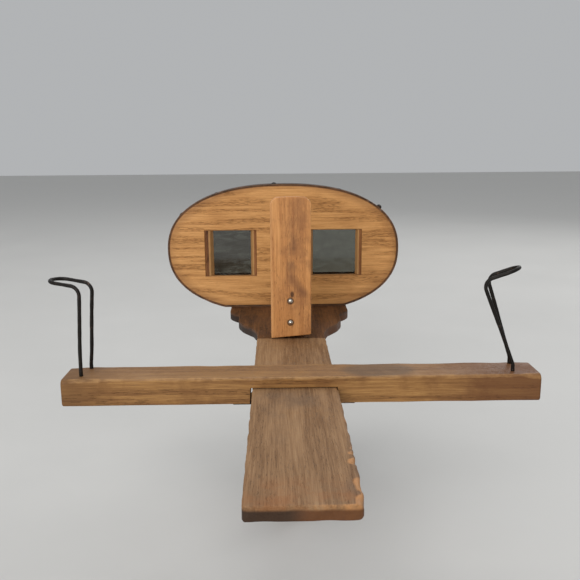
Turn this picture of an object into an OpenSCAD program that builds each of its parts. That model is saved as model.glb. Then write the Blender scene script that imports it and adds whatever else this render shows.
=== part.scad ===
// Hand stereo viewer: an oval lens board with an eye hood stands on the wide end of a flat shaft.
// A crossbar with two wire card holders slides along the shaft, and the turned handle folds up under it.
// +X runs to the right as seen from the card end, +Y from the card end to the eyes, and +Z up.
// The origin is the middle of the handle's foot.

/* [Shaft] */
// Width of the shaft
shaft_w = 35; // [28:1:42]
// Thickness of the shaft
shaft_t = 5; // [4:0.5:7]
// Length of the shaft in front of the lens board
shaft_reach = 238; // [215:1:300]
// Length of the shaft behind the lens board's front face
shaft_tail = 12; // [8:1:14]
// Width of the wide end under the lens board
flare_w = 70; // [52:1:90]
// Length of the wide end's shaped edge
flare_len = 64; // [54:1:76]
// Width of the small shoulder's inner step
shoulder_w = 58; // [46:1:78]
// Height of the shaft's top face above the foot
shaft_h = 104; // [98:1:140]
// Distance from the handle's axis to the lens board's front face
handle_to_board = 56; // [44:1:60]

/* [Lens board] */
// Width of the lens board
board_w = 136; // [124:1:170]
// Height of the lens board
board_h = 72; // [66:1:80]
// Height of the whole oval that the board's foot is cut from
oval_h = 76; // [72:1:92]
// Roundness of the oval, where 2 is an ellipse
oval_power = 2.3; // [2:0.05:2.6]
// Thickness of the lens board
board_t = 8; // [7:0.5:12]
// How far the board's middle lies from the shaft's middle
board_shift = -3; // [-5:0.5:5]
// Depth of the rebate that holds a lens, from the board's back
rebate_depth = 5; // [4.5:0.5:5.5]

/* [Lenses] */
// Distance between the middles of the two windows
lens_spacing = 63; // [58:1:68]
// Height of the windows' middle above the shaft
lens_z = 33; // [31:1:36]
// Width of a window in the board
window_w = 30.5; // [26:0.5:37]
// Height of a window in the board
window_h = 27.5; // [24:0.5:31]
// How far a lens reaches past its window on each side
lens_lap = 2; // [1.5:0.25:2.5]
// Greatest thickness of a lens
lens_t = 4.4; // [3.5:0.1:4.4]
// Radius of a lens's curved face
lens_r = 120; // [100:5:200]
// How far the curve's middle lies outside the window's middle
lens_wedge = 8; // [0:1:12]
// Width of the wooden strip in the left window, on its outer side
strip_left_outer_w = 5; // [3:0.25:6]
// Width of the wooden strip in the left window, on its inner side
strip_left_inner_w = 3.4; // [1.5:0.1:5]
// Width of the wooden strip in the right window, on its outer side
strip_right_outer_w = 3.5; // [1.5:0.1:5]
// Width of the wooden strip in the right window, on its inner side
strip_right_inner_w = 1.6; // [1.2:0.1:5]
// Width of the frame that keeps a lens in, past the window
keeper_lap = 5.5; // [5:0.25:6.5]
// Thickness of that frame
keeper_t = 2; // [1.5:0.25:3]

/* [Hood] */
// Thickness of the hood's bent veneer
hood_t = 1; // [0.8:0.1:1.4]
// How far the hood draws in for each millimetre behind the lens board
hood_draw = 0.0018; // [0.0008:0.0002:0.0024]
// Depth of the hood at the brow
brow_depth = 32; // [28:1:40]
// Depth of the hood at the nose
nose_depth = 20; // [19:0.5:26]
// Radius of the face curve, seen from above
face_r = 95; // [86:1:130]
// Radius of the nose cut
nose_r = 19; // [14:1:24]
// Width of the soft binding along the eye edge
binding_w = 5; // [4:0.5:5.5]
// Thickness of the binding on each side of the veneer
binding_t = 1.4; // [0.8:0.1:2]
// How far the binding stands past the veneer's edge
binding_over = 1.2; // [0.8:0.1:2]

/* [Septum] */
// Width of the septum board
septum_w = 20.4; // [16:0.2:26]
// Height of the septum board
septum_h = 72; // [60:1:80]
// Thickness of the septum board
septum_t = 4; // [3:0.5:5]
// Distance from the shaft's front end to the septum board
septum_reach = 167; // [150:1:172]
// How much the septum board's foot rises from left to right
septum_slant = 1.8; // [0:0.1:3]
// Radius of the septum board's upper corners
septum_r = 4; // [2:0.5:6]
// Width of the block behind the septum board's foot
block_w = 14; // [10:1:16]
// Depth of that block
block_d = 14; // [12:1:18]
// Height of that block
block_h = 26; // [24:1:34]
// Height of the septum's lower nail above the shaft
nail_z = 8.5; // [6:0.5:10]
// Distance between the septum's nails
nail_step = 11.2; // [9:0.2:13]

/* [Card holder] */
// Length of the crossbar
bar_len = 197; // [190:1:240]
// Depth of the crossbar
bar_d = 17; // [15:0.5:21]
// Height of the crossbar
bar_h = 11.4; // [9.6:0.1:14]
// Height of the crossbar's top above the shaft
bar_over = 4.7; // [4:0.1:6]
// How far the crossbar's middle lies from the shaft's middle
bar_shift = 3; // [-4:0.5:4]
// Distance from the shaft's front end to the crossbar at rest
bar_reach = 94; // [60:1:120]
// Side play of the shaft in the crossbar's notch
notch_play = 1.4; // [0.6:0.1:2]
// Distance between the two card wires
wire_spread = 178.8; // [170:0.2:180]
// Distance between a card wire's two legs
wire_gap = 10; // [8:0.5:11]
// How far the wires stand behind the crossbar's middle
wire_back = 1.5; // [0:0.5:2]
// How far the wires stand to the right of their even places
wire_shift = -0.75; // [-1:0.25:1]
// Radius of the wire
wire_r = 0.8; // [0.6:0.05:0.9]
// Height of the wires above the crossbar
wire_h = 37; // [30:1:45]
// Depth of the wires' holes in the crossbar
wire_seat = 8; // [6:0.5:9]
// Length of the left wire's bent-over end
hook_left = 16; // [11:0.5:18]
// Length of the right wire's bent-over end
hook_right = 14.5; // [11:0.5:18]
// Inward lean of the left card wire, in degrees
lean_left = 3.5; // [0.5:0.5:20]
// Inward lean of the right card wire, in degrees
lean_right = 20; // [0.5:0.5:22]
// Turn of both wires at the crossbar, clockwise from above, in degrees
turn_foot = 10; // [0:1:15]
// Turn of the left wire's upper end, in degrees
turn_left = 18; // [0:1:25]
// Turn of the right wire's upper end, in degrees
turn_right = 24; // [0:1:25]
// Rise of the left wire's bent end, in degrees
rise_left = 6; // [0:1:20]
// Rise of the right wire's bent end, in degrees
rise_right = 22; // [0:1:30]
// Hold of the keeper strap on the crossbar, on each side of the notch
strap_land = 7; // [6:0.25:12]
// Width of the keeper strap
strap_w = 11; // [9:0.5:14]
// Thickness of the keeper strap
strap_t = 1.2; // [0.8:0.1:1.6]
// Thickness of the leaf spring that rubs on the shaft
leaf_t = 0.35; // [0.25:0.05:0.5]

/* [Handle] */
// Gap between the folded handle and the keeper strap's nails
fold_gap = 2; // [1:0.25:5]
// Radius of the hinge pin
pin_r = 2; // [1.5:0.1:2.5]
// Thickness of the hinge lug
lug_t = 6; // [4:0.5:8]
// Radius of the lug and of the bracket's ears around the pin
lug_r = 5.5; // [4.5:0.25:6]
// Thickness of the bracket's sheet
bracket_t = 2; // [1.5:0.25:2.5]
// Length of the bracket's plate
bracket_len = 44; // [40:1:52]
// Width of the bracket's plate
bracket_w = 22; // [20:1:26]
// Distance from the pin to the top of the ferrule
ferrule_drop = 9; // [8:0.5:12]
// Length of the ferrule
ferrule_len = 11; // [8:0.5:14]
// Outside radius of the ferrule
ferrule_r = 8.6; // [8:0.1:9.5]
// Thickness of the ferrule's metal
ferrule_t = 0.8; // [0.6:0.1:1.2]
// Radius of the handle's foot
foot_r = 10; // [8:0.5:10.5]
// Greatest radius of the handle
bulb_r = 11; // [10:0.5:11.5]
// Height of the handle's bulb above the foot
bulb_z = 11; // [8:0.5:16]
// Smallest radius of the handle
waist_r = 7.4; // [6.5:0.1:8.5]
// Height of the handle's waist above the foot
waist_z = 36; // [30:1:40]
// Radius of the handle's upper swell
swell_r = 9.4; // [8.5:0.1:10.5]
// Distance from the ferrule down to the upper swell
swell_drop = 9.5; // [7:0.5:12]

/* [Fits] */
// Gap between flat faces that slide on each other
slide_gap = 0.2; // [0.15:0.05:0.3]
// Radial clearance of the hinge pin in the lug
pin_fit = 0.05; // [0.02:0.01:0.1]
// Gap between the lug and the bracket's ears
lug_gap = 0.3; // [0.2:0.05:0.5]
// Gap around a lens in its rebate
lens_gap = 0.25; // [0.1:0.05:0.4]

/* [Hidden] */
$fn = 64;
// Overshoot of a cut past the face that it opens
cut = 1;

board_y = handle_to_board;
front_y = board_y - shaft_reach;
bar_y = front_y + bar_reach;
bar_mid_y = bar_y + bar_d / 2;
septum_y = front_y + septum_reach;

// The shaped edge: a convex shoulder, a short straight step, then an ogee down to the shaft
corner_r = 1.5;
shoulder_start = 8;
shoulder_len = 12;
step_len = 8;
shoulder_drop = (flare_w - shoulder_w) / 2;
shoulder_r = (shoulder_drop ^ 2 + shoulder_len ^ 2) / (2 * shoulder_drop);
shoulder_turn = asin(shoulder_len / shoulder_r);
ogee_len = flare_len - shoulder_start - shoulder_len - step_len;
ogee_drop = (shoulder_w - shaft_w) / 2;
ogee_r = (ogee_len ^ 2 + ogee_drop ^ 2) / (4 * ogee_drop);
ogee_turn = asin(ogee_len / 2 / ogee_r);

oval_z = shaft_h + hood_t + board_h - oval_h / 2;
oval_steps = 96;
lens_mid_z = shaft_h + lens_z;
window_back = board_y + board_t - rebate_depth;
board_back = board_y + board_t;

screw_r = 1.6;
screw_head_r = 3.2;
screw_head_t = 2;
slot_w = 0.8;
board_screw_inset = 13;
board_screw_x = flare_w / 2 - board_screw_inset;
board_screw_room = 3;
board_screw_len = shaft_t + lens_z - window_h / 2 - lens_lap - lens_gap - board_screw_room;
block_screw_len = 18;
block_screw_inset = 4;
screws = [
    [board_shift - board_screw_x, board_y + board_t / 2, board_screw_len],
    [board_shift + board_screw_x, board_y + board_t / 2, board_screw_len],
    [0, septum_y + septum_t + block_d - block_screw_inset, block_screw_len],
];

brad_r = 0.5;
brad_head_r = 1.1;
brad_head_h = 0.5;
brad_len = 4.5;
brad_inset = 1.6;
keeper_cover = 0.5;

tack_r = 0.6;
tack_head_r = 1.6;
tack_len = 5;
// Places of the hood's tacks round the oval, in degrees from +X, and each head's height
tacks = [
    [0, 0.5], [36, 1.6], [64, 0.3], [93, 0.8], [122, 0.3], [150, 0.5], [180, 0.5], [212, 0.5], [328, 0.5],
];

nail_r = 0.8;
nail_head_r = 1.2;
nail_head_h = 0.7;
nail_len = septum_t + block_d - 2 * block_screw_inset;
nail_x = -0.3;

bar_top = shaft_h + bar_over;
bar_foot = bar_top - bar_h;
notch_w = shaft_w + notch_play;
notch_side_gap = 0.3;
notch_x = notch_side_gap - notch_play / 2;
wire_bend_r = 4;
wire_straight = 2;
strap_foot = bar_foot - strap_t;
strap_len = notch_w + 2 * strap_land;
strap_nail_x = (notch_w + strap_land) / 2;
strap_nail_r = 0.8;
strap_nail_len = 7;
strap_nail_head_r = 1.8;
strap_nail_head_h = 0.6;
strap_lip_t = 0.8;
strap_lip_h = 0.7;
leaf_inset = 3.2;
leaf_len = notch_w - 2 * leaf_inset;
leaf_rise = shaft_h - shaft_t - slide_gap / 2 - bar_foot - leaf_t;
leaf_r = (leaf_len ^ 2 / 4 + leaf_rise ^ 2) / (2 * leaf_rise);

pivot_z = strap_foot - strap_nail_head_h - fold_gap - bulb_r;
ferrule_top = pivot_z - ferrule_drop;
ferrule_foot = ferrule_top - ferrule_len;
bracket_screw_x = 7;
bracket_screw_y = 16;
bracket_screw_len = bracket_t + shaft_t - 1;
ear_inner = lug_t / 2 + lug_gap;
rivet_head_r = 3.2;
rivet_head_t = 1.4;
tang_rod_r = 2.4;
tang_rod_len = 26;
ferrule_pin_r = 0.9;
ferrule_pin_stand = 0.3;
foot_round = 1.5;
grip_lip = 0.4;

// Points of an arc in the plane, from angle a to angle b in n steps
function arc(x, y, r, a, b, n) =
    [for (i = [0:n]) let (t = a + (b - a) * i / n) [x + r * cos(t), y + r * sin(t)]];

// One side of the shaft's outline, from its front corner to its tail, with +X as its outer side
function shaft_side() = concat(
    arc(shaft_w / 2 - corner_r, front_y + corner_r, corner_r, -90, 0, 6),
    arc(shaft_w / 2 + ogee_r, board_y - flare_len, ogee_r, 180, 180 - ogee_turn, 12),
    arc(shoulder_w / 2 - ogee_r, board_y - flare_len + ogee_len, ogee_r, -ogee_turn, 0, 12),
    arc(flare_w / 2 - shoulder_r, board_y - shoulder_start, shoulder_r, -shoulder_turn, 0, 10),
    [[flare_w / 2, board_y + shaft_tail]]
);

// A Lame oval: |x/a|^p + |y/b|^p = 1
function oval(a, b) = [
    for (i = [0:oval_steps - 1])
        let (t = 360 * i / oval_steps, c = cos(t), s = sin(t))
        [a * sign(c) * abs(c) ^ (2 / oval_power), b * sign(s) * abs(s) ^ (2 / oval_power)]
];

// Radius of the turned handle at height z, eased between its stations by half cosine waves
grip_neck_r = ferrule_r - ferrule_t;
grip_stations = [
    [foot_round, foot_r], [bulb_z, bulb_r], [waist_z, waist_r], [ferrule_foot - swell_drop, swell_r],
    [ferrule_foot, grip_neck_r + grip_lip],
];
function eased(a, b, z) = a[1] + (b[1] - a[1]) * (1 - cos(180 * (z - a[0]) / (b[0] - a[0]))) / 2;
function grip_side() = [
    for (i = [0:len(grip_stations) - 2], k = [0:7])
        let (a = grip_stations[i], b = grip_stations[i + 1], z = a[0] + (b[0] - a[0]) * k / 8)
        [eased(a, b, z), z]
];

// Stands an X-Z outline up and gives it depth towards +Y, from y
module upright(y, depth) {
    translate([0, y + depth, 0]) rotate([90, 0, 0]) linear_extrude(depth) children();
}

// The lens board's outline: an oval grown by grow, with its foot cut flat
module oval_2d(grow) {
    intersection() {
        translate([board_shift, oval_z]) polygon(oval(board_w / 2 + grow, oval_h / 2 + grow));
        translate([board_shift - board_w, shaft_h + hood_t - grow]) square([2 * board_w, 2 * board_h]);
    }
}

// The face's outline from above, grown by grow, with or without the nose
module face_2d(grow, nose) {
    translate([board_shift, board_y + brow_depth + face_r]) circle(r = face_r + grow, $fn = 180);
    if (nose)
        translate([board_shift, board_y + nose_depth + nose_r]) circle(r = nose_r + grow);
}

// The room of the face behind the lens board, as a solid
module face_room(grow) {
    translate([0, 0, shaft_h - 10]) linear_extrude(oval_z - shaft_h + 10) face_2d(grow, true);
    translate([0, 0, oval_z]) linear_extrude(oval_h) face_2d(grow, false);
}

// A window's outline, side -1 for left and 1 for right, grown by grow all round
module window_2d(side, grow) {
    translate([board_shift + side * lens_spacing / 2, lens_mid_z])
        square([window_w + 2 * grow, window_h + 2 * grow], center = true);
}

// A countersunk wood screw, head down, with its head's face at z = 0
module wood_screw(len, slot = true) {
    difference() {
        union() {
            cylinder(h = len, r = screw_r, $fn = 32);
            cylinder(h = screw_head_t, r1 = screw_head_r, r2 = screw_r, $fn = 32);
        }
        if (slot)
            translate([-screw_head_r, -slot_w / 2, -cut]) cube([2 * screw_head_r, slot_w, cut + slot_w]);
    }
}

module screw_holes() {
    for (s = screws)
        translate([s[0], s[1], shaft_h - shaft_t]) wood_screw(s[2], false);
}

// A domed nail head: the cap of a sphere, standing on z = 0
module dome(r, h) {
    ball = (r ^ 2 + h ^ 2) / (2 * h);
    intersection() {
        translate([0, 0, h - ball]) sphere(r = ball);
        cylinder(h = h + cut, r = r);
    }
}

// A nail along -Z with its head's underside at z = 0
module nail(r, len, head_r, head_h) {
    translate([0, 0, -len]) cylinder(h = len, r = r, $fn = 32);
    dome(head_r, head_h);
}

module nail_hole(r, len) {
    translate([0, 0, -len]) cylinder(h = len + cut, r = r, $fn = 32);
}

// Children at each tack's place on the hood, with +Z outwards, and $head as its head's height
module at_tacks() {
    a = board_w / 2 + hood_t;
    b = oval_h / 2 + hood_t;
    for (t = tacks) {
        c = cos(t[0]);
        s = sin(t[0]);
        x = a * sign(c) * abs(c) ^ (2 / oval_power);
        z = b * sign(s) * abs(s) ^ (2 / oval_power);
        slope_x = sign(x) * abs(x / a) ^ (oval_power - 1) / a;
        slope_z = sign(z) * abs(z / b) ^ (oval_power - 1) / b;
        $head = t[1];
        translate([board_shift + x, board_y + board_t / 2, oval_z + z])
            rotate([0, atan2(slope_x, slope_z), 0]) children();
    }
}

// Children at the four corners of each lens keeper, with +Z towards the eyes
module at_brads(side) {
    for (i = [-1, 1], k = [-1, 1])
        translate([
            board_shift + side * lens_spacing / 2 + i * (window_w / 2 + keeper_lap - brad_inset),
            board_back + keeper_t,
            lens_mid_z + k * (window_h / 2 + keeper_lap - brad_inset),
        ])
            rotate([-90, 0, 0]) children();
}

module at_septum_nails() {
    for (k = [0, 1])
        translate([nail_x, septum_y, shaft_h + nail_z + k * nail_step]) rotate([90, 0, 0]) children();
}

module at_strap_nails() {
    for (side = [-1, 1])
        translate([notch_x + side * strap_nail_x, bar_mid_y, strap_foot])
            rotate([180, 0, 0]) children();
}

module at_bracket_screws() {
    for (i = [-1, 1], k = [-1, 1])
        translate([i * bracket_screw_x, k * bracket_screw_y, shaft_h - shaft_t - bracket_t]) children();
}

// The middle between a card wire's legs on the crossbar's top, side -1 for left and 1 for right
module at_wire(side) {
    translate([bar_shift + wire_shift + side * wire_spread / 2, bar_mid_y + wire_back, bar_top]) children();
}

// The two places of a card wire's legs
module at_wire_legs(side) {
    at_wire(side)
        for (k = [-1, 1])
            translate([k * wire_gap / 2 * sin(turn_foot), k * wire_gap / 2 * cos(turn_foot), 0]) children();
}

module shaft() {
    side = shaft_side();
    color("saddlebrown")
        difference() {
            translate([0, 0, shaft_h - shaft_t])
                linear_extrude(shaft_t)
                    polygon(concat(side, [for (i = [len(side) - 1:-1:0]) [-side[i][0], side[i][1]]]));
            screw_holes();
            at_bracket_screws() cylinder(h = bracket_screw_len, r = screw_r, $fn = 32);
        }
}

module lens_board() {
    color("peru")
        difference() {
            upright(board_y, board_t) oval_2d(0);
            for (side = [-1, 1]) {
                upright(board_y - cut, board_t + 2 * cut) window_2d(side, 0);
                upright(window_back, rebate_depth + cut) window_2d(side, lens_lap + lens_gap);
                at_brads(side) nail_hole(brad_r, brad_len + keeper_t);
            }
            screw_holes();
            at_tacks() nail_hole(tack_r, tack_len);
        }
}

// A prism lens: flat to the front, curved to the eyes, thickest on its outer side
module lens(side) {
    color("lightcyan")
        intersection() {
            upright(window_back, lens_t) window_2d(side, lens_lap);
            translate([
                board_shift + side * (lens_spacing / 2 + lens_wedge),
                window_back + lens_t - lens_r,
                lens_mid_z,
            ])
                sphere(r = lens_r, $fn = 180);
        }
}

module lens_left() { lens(-1); }
module lens_right() { lens(1); }

// A wooden strip that fills one side of a window in front of the lens; edge is -1 or 1 for its side
module window_strip(side, edge, w) {
    middle = board_shift + side * lens_spacing / 2;
    recess = 0.3;
    color("sienna")
        translate([
            middle + (edge > 0 ? window_w / 2 - w : -window_w / 2),
            board_y + recess,
            lens_mid_z - window_h / 2,
        ])
            cube([w, board_t - rebate_depth - recess, window_h]);
}

module strip_left_outer() { window_strip(-1, -1, strip_left_outer_w); }
module strip_left_inner() { window_strip(-1, 1, strip_left_inner_w); }
module strip_right_outer() { window_strip(1, 1, strip_right_outer_w); }
module strip_right_inner() { window_strip(1, -1, strip_right_inner_w); }

module lens_keeper(side) {
    color("sienna")
        difference() {
            upright(board_back, keeper_t) window_2d(side, keeper_lap);
            upright(board_back - cut, keeper_t + 2 * cut) window_2d(side, -keeper_cover);
            at_brads(side) nail_hole(brad_r, brad_len + keeper_t);
        }
}

module lens_keeper_left() { lens_keeper(-1); }
module lens_keeper_right() { lens_keeper(1); }

module keeper_brads() {
    color("darkgoldenrod")
        for (side = [-1, 1])
            at_brads(side) nail(brad_r, brad_len + keeper_t, brad_head_r, brad_head_h);
}

// Carries an outline straight back round the lens board, then on with it drawn in towards its foot
module drawn_back() {
    depth = brow_depth + face_r;
    foot = shaft_h;
    upright(board_y, board_t) children();
    translate([board_shift, board_back, foot])
        rotate([-90, 0, 0])
            mirror([0, 1, 0])
                linear_extrude(depth, scale = 1 - hood_draw * depth)
                    translate([-board_shift, -foot]) children();
}

module hood() {
    color("#4a2f1c")
        difference() {
            drawn_back() oval_2d(hood_t);
            translate([0, -cut, 0]) upright(board_y, board_t + 2 * cut) oval_2d(0);
            drawn_back() oval_2d(0);
            face_room(0);
            screw_holes();
            at_tacks() nail_hole(tack_r, tack_len);
        }
}

// The soft binding wraps the hood's eye edge inside and out
module hood_binding() {
    color("#1c1a1c")
        difference() {
            intersection() {
                difference() {
                    drawn_back() oval_2d(hood_t + binding_t);
                    drawn_back() oval_2d(-binding_t);
                }
                face_room(binding_w);
            }
            face_room(-binding_over);
            hood();
        }
}

module hood_tacks() {
    color("#2a2522")
        at_tacks() nail(tack_r, tack_len, tack_head_r, $head);
}

module septum_board() {
    half = septum_w / 2;
    foot_gap = 0.3;
    color("chocolate")
        difference() {
            upright(septum_y, septum_t) translate([0, shaft_h]) {
                polygon([
                    [-half, foot_gap], [half, foot_gap + septum_slant],
                    [half, septum_h - septum_r], [-half, septum_h - septum_r],
                ]);
                translate([-half + septum_r, septum_h - 2 * septum_r])
                    square([septum_w - 2 * septum_r, 2 * septum_r]);
                for (side = [-1, 1])
                    translate([side * (half - septum_r), septum_h - septum_r]) circle(r = septum_r);
            }
            at_septum_nails() nail_hole(nail_r, nail_len);
        }
}

module septum_block() {
    color("sienna")
        difference() {
            translate([-block_w / 2, septum_y + septum_t, shaft_h]) cube([block_w, block_d, block_h]);
            at_septum_nails() nail_hole(nail_r, nail_len);
            screw_holes();
        }
}

module septum_nails() {
    color("silver")
        at_septum_nails() nail(nail_r, nail_len, nail_head_r, nail_head_h);
}

module shaft_screws() {
    color("gold")
        for (s = screws)
            translate([s[0], s[1], shaft_h - shaft_t]) wood_screw(s[2]);
}

module handle_bracket() {
    plate_z = shaft_h - shaft_t - bracket_t;
    color("darkgoldenrod")
        difference() {
            union() {
                translate([-bracket_w / 2, -bracket_len / 2, plate_z])
                    cube([bracket_w, bracket_len, bracket_t]);
                for (side = [0, 1])
                    mirror([side, 0, 0]) {
                        translate([ear_inner, -lug_r, pivot_z])
                            cube([bracket_t, 2 * lug_r, plate_z - pivot_z]);
                        translate([ear_inner, 0, pivot_z])
                            rotate([0, 90, 0]) cylinder(h = bracket_t, r = lug_r);
                    }
            }
            translate([-bracket_w, 0, pivot_z]) rotate([0, 90, 0]) cylinder(h = 2 * bracket_w, r = pin_r);
            at_bracket_screws() {
                cylinder(h = 3 * bracket_t, r = screw_r, center = true, $fn = 32);
                cylinder(h = screw_head_t, r1 = screw_head_r, r2 = screw_r, $fn = 32);
            }
        }
}

module bracket_screws() {
    color("gold")
        at_bracket_screws() wood_screw(bracket_screw_len);
}

module hinge_pin() {
    half = ear_inner + bracket_t;
    color("silver")
        translate([0, 0, pivot_z])
            for (side = [0, 1])
                mirror([side, 0, 0]) rotate([0, 90, 0]) {
                    cylinder(h = half, r = pin_r);
                    translate([0, 0, half]) dome(rivet_head_r, rivet_head_t);
                }
}

module crossbar() {
    color("peru")
        difference() {
            translate([bar_shift - bar_len / 2, bar_y, bar_foot]) cube([bar_len, bar_d, bar_h]);
            translate([notch_x - notch_w / 2, bar_y - cut, bar_foot - cut])
                cube([notch_w, bar_d + 2 * cut, shaft_h + slide_gap - bar_foot + cut]);
            for (side = [-1, 1])
                at_wire_legs(side) nail_hole(wire_r, wire_seat);
            at_strap_nails() nail_hole(strap_nail_r, strap_nail_len + strap_t);
        }
}

// A hairpin wire's middle line as [[x, z], across]: up one leg, over the knee and out along the hook.
// across is the angle of the direction square to the wire and to Y.
function wire_leg(lean, rise, hook_len) =
    let (
        r = wire_bend_r,
        up = (wire_h - wire_straight - r) / cos(lean),
        out = hook_len - r - wire_gap / 2,
        foot = [0, wire_seat + wire_straight],
        knee = [for (i = [0:2]) let (a = lean * i / 2) [foot + r * [cos(a) - 1, sin(a)], a]],
        shin = [for (i = [1:4]) [knee[2][0] + up * i / 4 * [-sin(lean), cos(lean)], lean]],
        top = shin[3][0],
        turn = lean + 90 - rise,
        hook = [
            for (i = [1:6])
                let (a = turn * i / 6 - lean)
                [top + r * [cos(lean) - cos(a), sin(lean) + sin(a)], -a]
        ],
        tip = [hook[5][0] + out * [cos(rise), sin(rise)], rise - 90]
    )
    concat([[[0, 0], 0]], knee, shin, hook, [tip]);

// Turns a point of the hairpin about the line between its legs: by from at the crossbar, growing
// evenly to to at the top of the legs, whose x and z are top.
function twisted(p, top, from, to) =
    let (
        share = max(0, min(1, (p[2] - wire_seat - wire_straight) / (top[1] - wire_seat - wire_straight))),
        a = -(from + (to - from) * share),
        mid = top[0] * share,
        x = p[0] - mid
    )
    [mid + x * cos(a) - p[1] * sin(a), x * sin(a) + p[1] * cos(a), p[2]];

function wire_path(lean, rise, hook_len) =
    let (
        leg = wire_leg(lean, rise, hook_len),
        end_r = wire_gap / 2,
        last = len(leg) - 1,
        tip = leg[last][0],
        end = [for (a = [15:15:165]) [
            [tip[0] + end_r * sin(a) * cos(rise), -end_r * cos(a), tip[1] + end_r * sin(a) * sin(rise)],
            rise - 90,
        ]]
    )
    concat(
        [for (p = leg) [[p[0][0], -end_r, p[0][1]], p[1]]],
        end,
        [for (i = [last:-1:0]) let (p = leg[i]) [[p[0][0], end_r, p[0][1]], p[1]]]
    );

// A round tube along a wire's centre line, with its ends closed, and turned by from up to to
module wire_tube(path, top, from, to) {
    sides = 10;
    n = len(path);
    points = [
        for (i = [0:n - 1])
            let (
                ahead = path[min(i + 1, n - 1)][0] - path[max(i - 1, 0)][0],
                along = ahead / norm(ahead),
                across = [cos(path[i][1]), 0, sin(path[i][1])],
                side = cross(along, across)
            )
            for (k = [0:sides - 1])
                let (around = cos(360 * k / sides) * across + sin(360 * k / sides) * side)
                twisted(path[i][0] + wire_r * around, top, from, to)
    ];
    walls = [
        for (i = [0:n - 2], k = [0:sides - 1])
            let (a = i * sides + k, b = i * sides + (k + 1) % sides)
            each [[a, a + sides, b], [b, a + sides, b + sides]]
    ];
    caps = [[for (k = [0:sides - 1]) k], [for (k = [sides - 1:-1:0]) (n - 1) * sides + k]];
    polyhedron(points, concat(walls, caps), convexity = 6);
}

// A hairpin in the crossbar: two legs that rise, lean inwards, bend outwards and meet in a round end
module wire_holder(side, lean, rise, hook_len, turn) {
    top = wire_leg(lean, rise, hook_len)[7][0];
    color("dimgray")
        at_wire(side)
            translate([0, 0, -wire_seat])
                mirror([side < 0 ? 1 : 0, 0, 0])
                    wire_tube(wire_path(lean, rise, hook_len), top, side * turn_foot, side * turn);
}

module wire_holder_left() { wire_holder(-1, lean_left, rise_left, hook_left, turn_left); }
module wire_holder_right() { wire_holder(1, lean_right, rise_right, hook_right, turn_right); }

module keeper_strap() {
    color("#2a2522")
        difference() {
            union() {
                translate([notch_x - strap_len / 2, bar_mid_y - strap_w / 2, strap_foot])
                    cube([strap_len, strap_w, strap_t]);
                for (side = [0, 1])
                    translate([
                        notch_x - leaf_len / 2,
                        bar_mid_y + (side ? strap_w / 2 - strap_lip_t : -strap_w / 2),
                        bar_foot,
                    ])
                        cube([leaf_len, strap_lip_t, strap_lip_h]);
            }
            at_strap_nails() nail_hole(strap_nail_r, strap_nail_len + strap_t);
        }
}

module strap_nails() {
    color("silver")
        at_strap_nails()
            nail(strap_nail_r, strap_nail_len + strap_t, strap_nail_head_r, strap_nail_head_h);
}

// A bowed leaf spring that lies in the strap and bears up on the shaft
module friction_leaf() {
    leaf_w = strap_w - 2 * strap_lip_t - 2 * slide_gap;
    color("lightsteelblue")
        upright(bar_mid_y - leaf_w / 2, leaf_w)
            intersection() {
                translate([notch_x, bar_foot + leaf_rise - leaf_r])
                    difference() {
                        circle(r = leaf_r + leaf_t, $fn = 180);
                        circle(r = leaf_r, $fn = 180);
                    }
                translate([notch_x - leaf_len / 2, bar_foot]) square([leaf_len, leaf_rise + 2 * leaf_t]);
            }
}

// The tang's round rod, down into the grip
module tang_rod() {
    translate([0, 0, ferrule_top - tang_rod_len]) cylinder(h = tang_rod_len, r = tang_rod_r, $fn = 32);
}

// A rod of the cross pin's size through the middle of the ferrule
module ferrule_pin_rod(len) {
    translate([0, 0, ferrule_foot + ferrule_len / 2])
        rotate([90, 0, 0]) cylinder(h = len, r = ferrule_pin_r, center = true, $fn = 32);
}

module handle_grip() {
    color("sienna")
        difference() {
            rotate_extrude()
                polygon(concat(
                    [[0, 0], [foot_r - foot_round, 0]],
                    arc(foot_r - foot_round, foot_round, foot_round, -60, -30, 2),
                    grip_side(),
                    [[grip_neck_r + grip_lip, ferrule_foot], [grip_neck_r, ferrule_foot]],
                    [[grip_neck_r, ferrule_top - ferrule_t], [0, ferrule_top - ferrule_t]]
                ));
            tang_rod();
            ferrule_pin_rod(4 * ferrule_r);
        }
}

module handle_ferrule() {
    color("darkgoldenrod")
        difference() {
            translate([0, 0, ferrule_foot]) cylinder(h = ferrule_len, r = ferrule_r);
            translate([0, 0, ferrule_foot - cut])
                cylinder(h = ferrule_len - ferrule_t + cut, r = ferrule_r - ferrule_t);
            translate([0, 0, ferrule_top - 2 * ferrule_t])
                cylinder(h = 3 * ferrule_t, r = tang_rod_r, $fn = 32);
            ferrule_pin_rod(4 * ferrule_r);
        }
}

// The lug that turns on the hinge pin, with a round rod down into the grip
module handle_tang() {
    color("darkgoldenrod")
        difference() {
            union() {
                translate([-lug_t / 2, -lug_r, ferrule_top]) cube([lug_t, 2 * lug_r, ferrule_drop]);
                translate([-lug_t / 2, 0, pivot_z]) rotate([0, 90, 0]) cylinder(h = lug_t, r = lug_r);
                tang_rod();
            }
            translate([-lug_t, 0, pivot_z]) rotate([0, 90, 0]) cylinder(h = 2 * lug_t, r = pin_r + pin_fit);
            ferrule_pin_rod(4 * ferrule_r);
        }
}

module ferrule_pin() {
    color("silver") ferrule_pin_rod(2 * (ferrule_r + ferrule_pin_stand));
}

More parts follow.
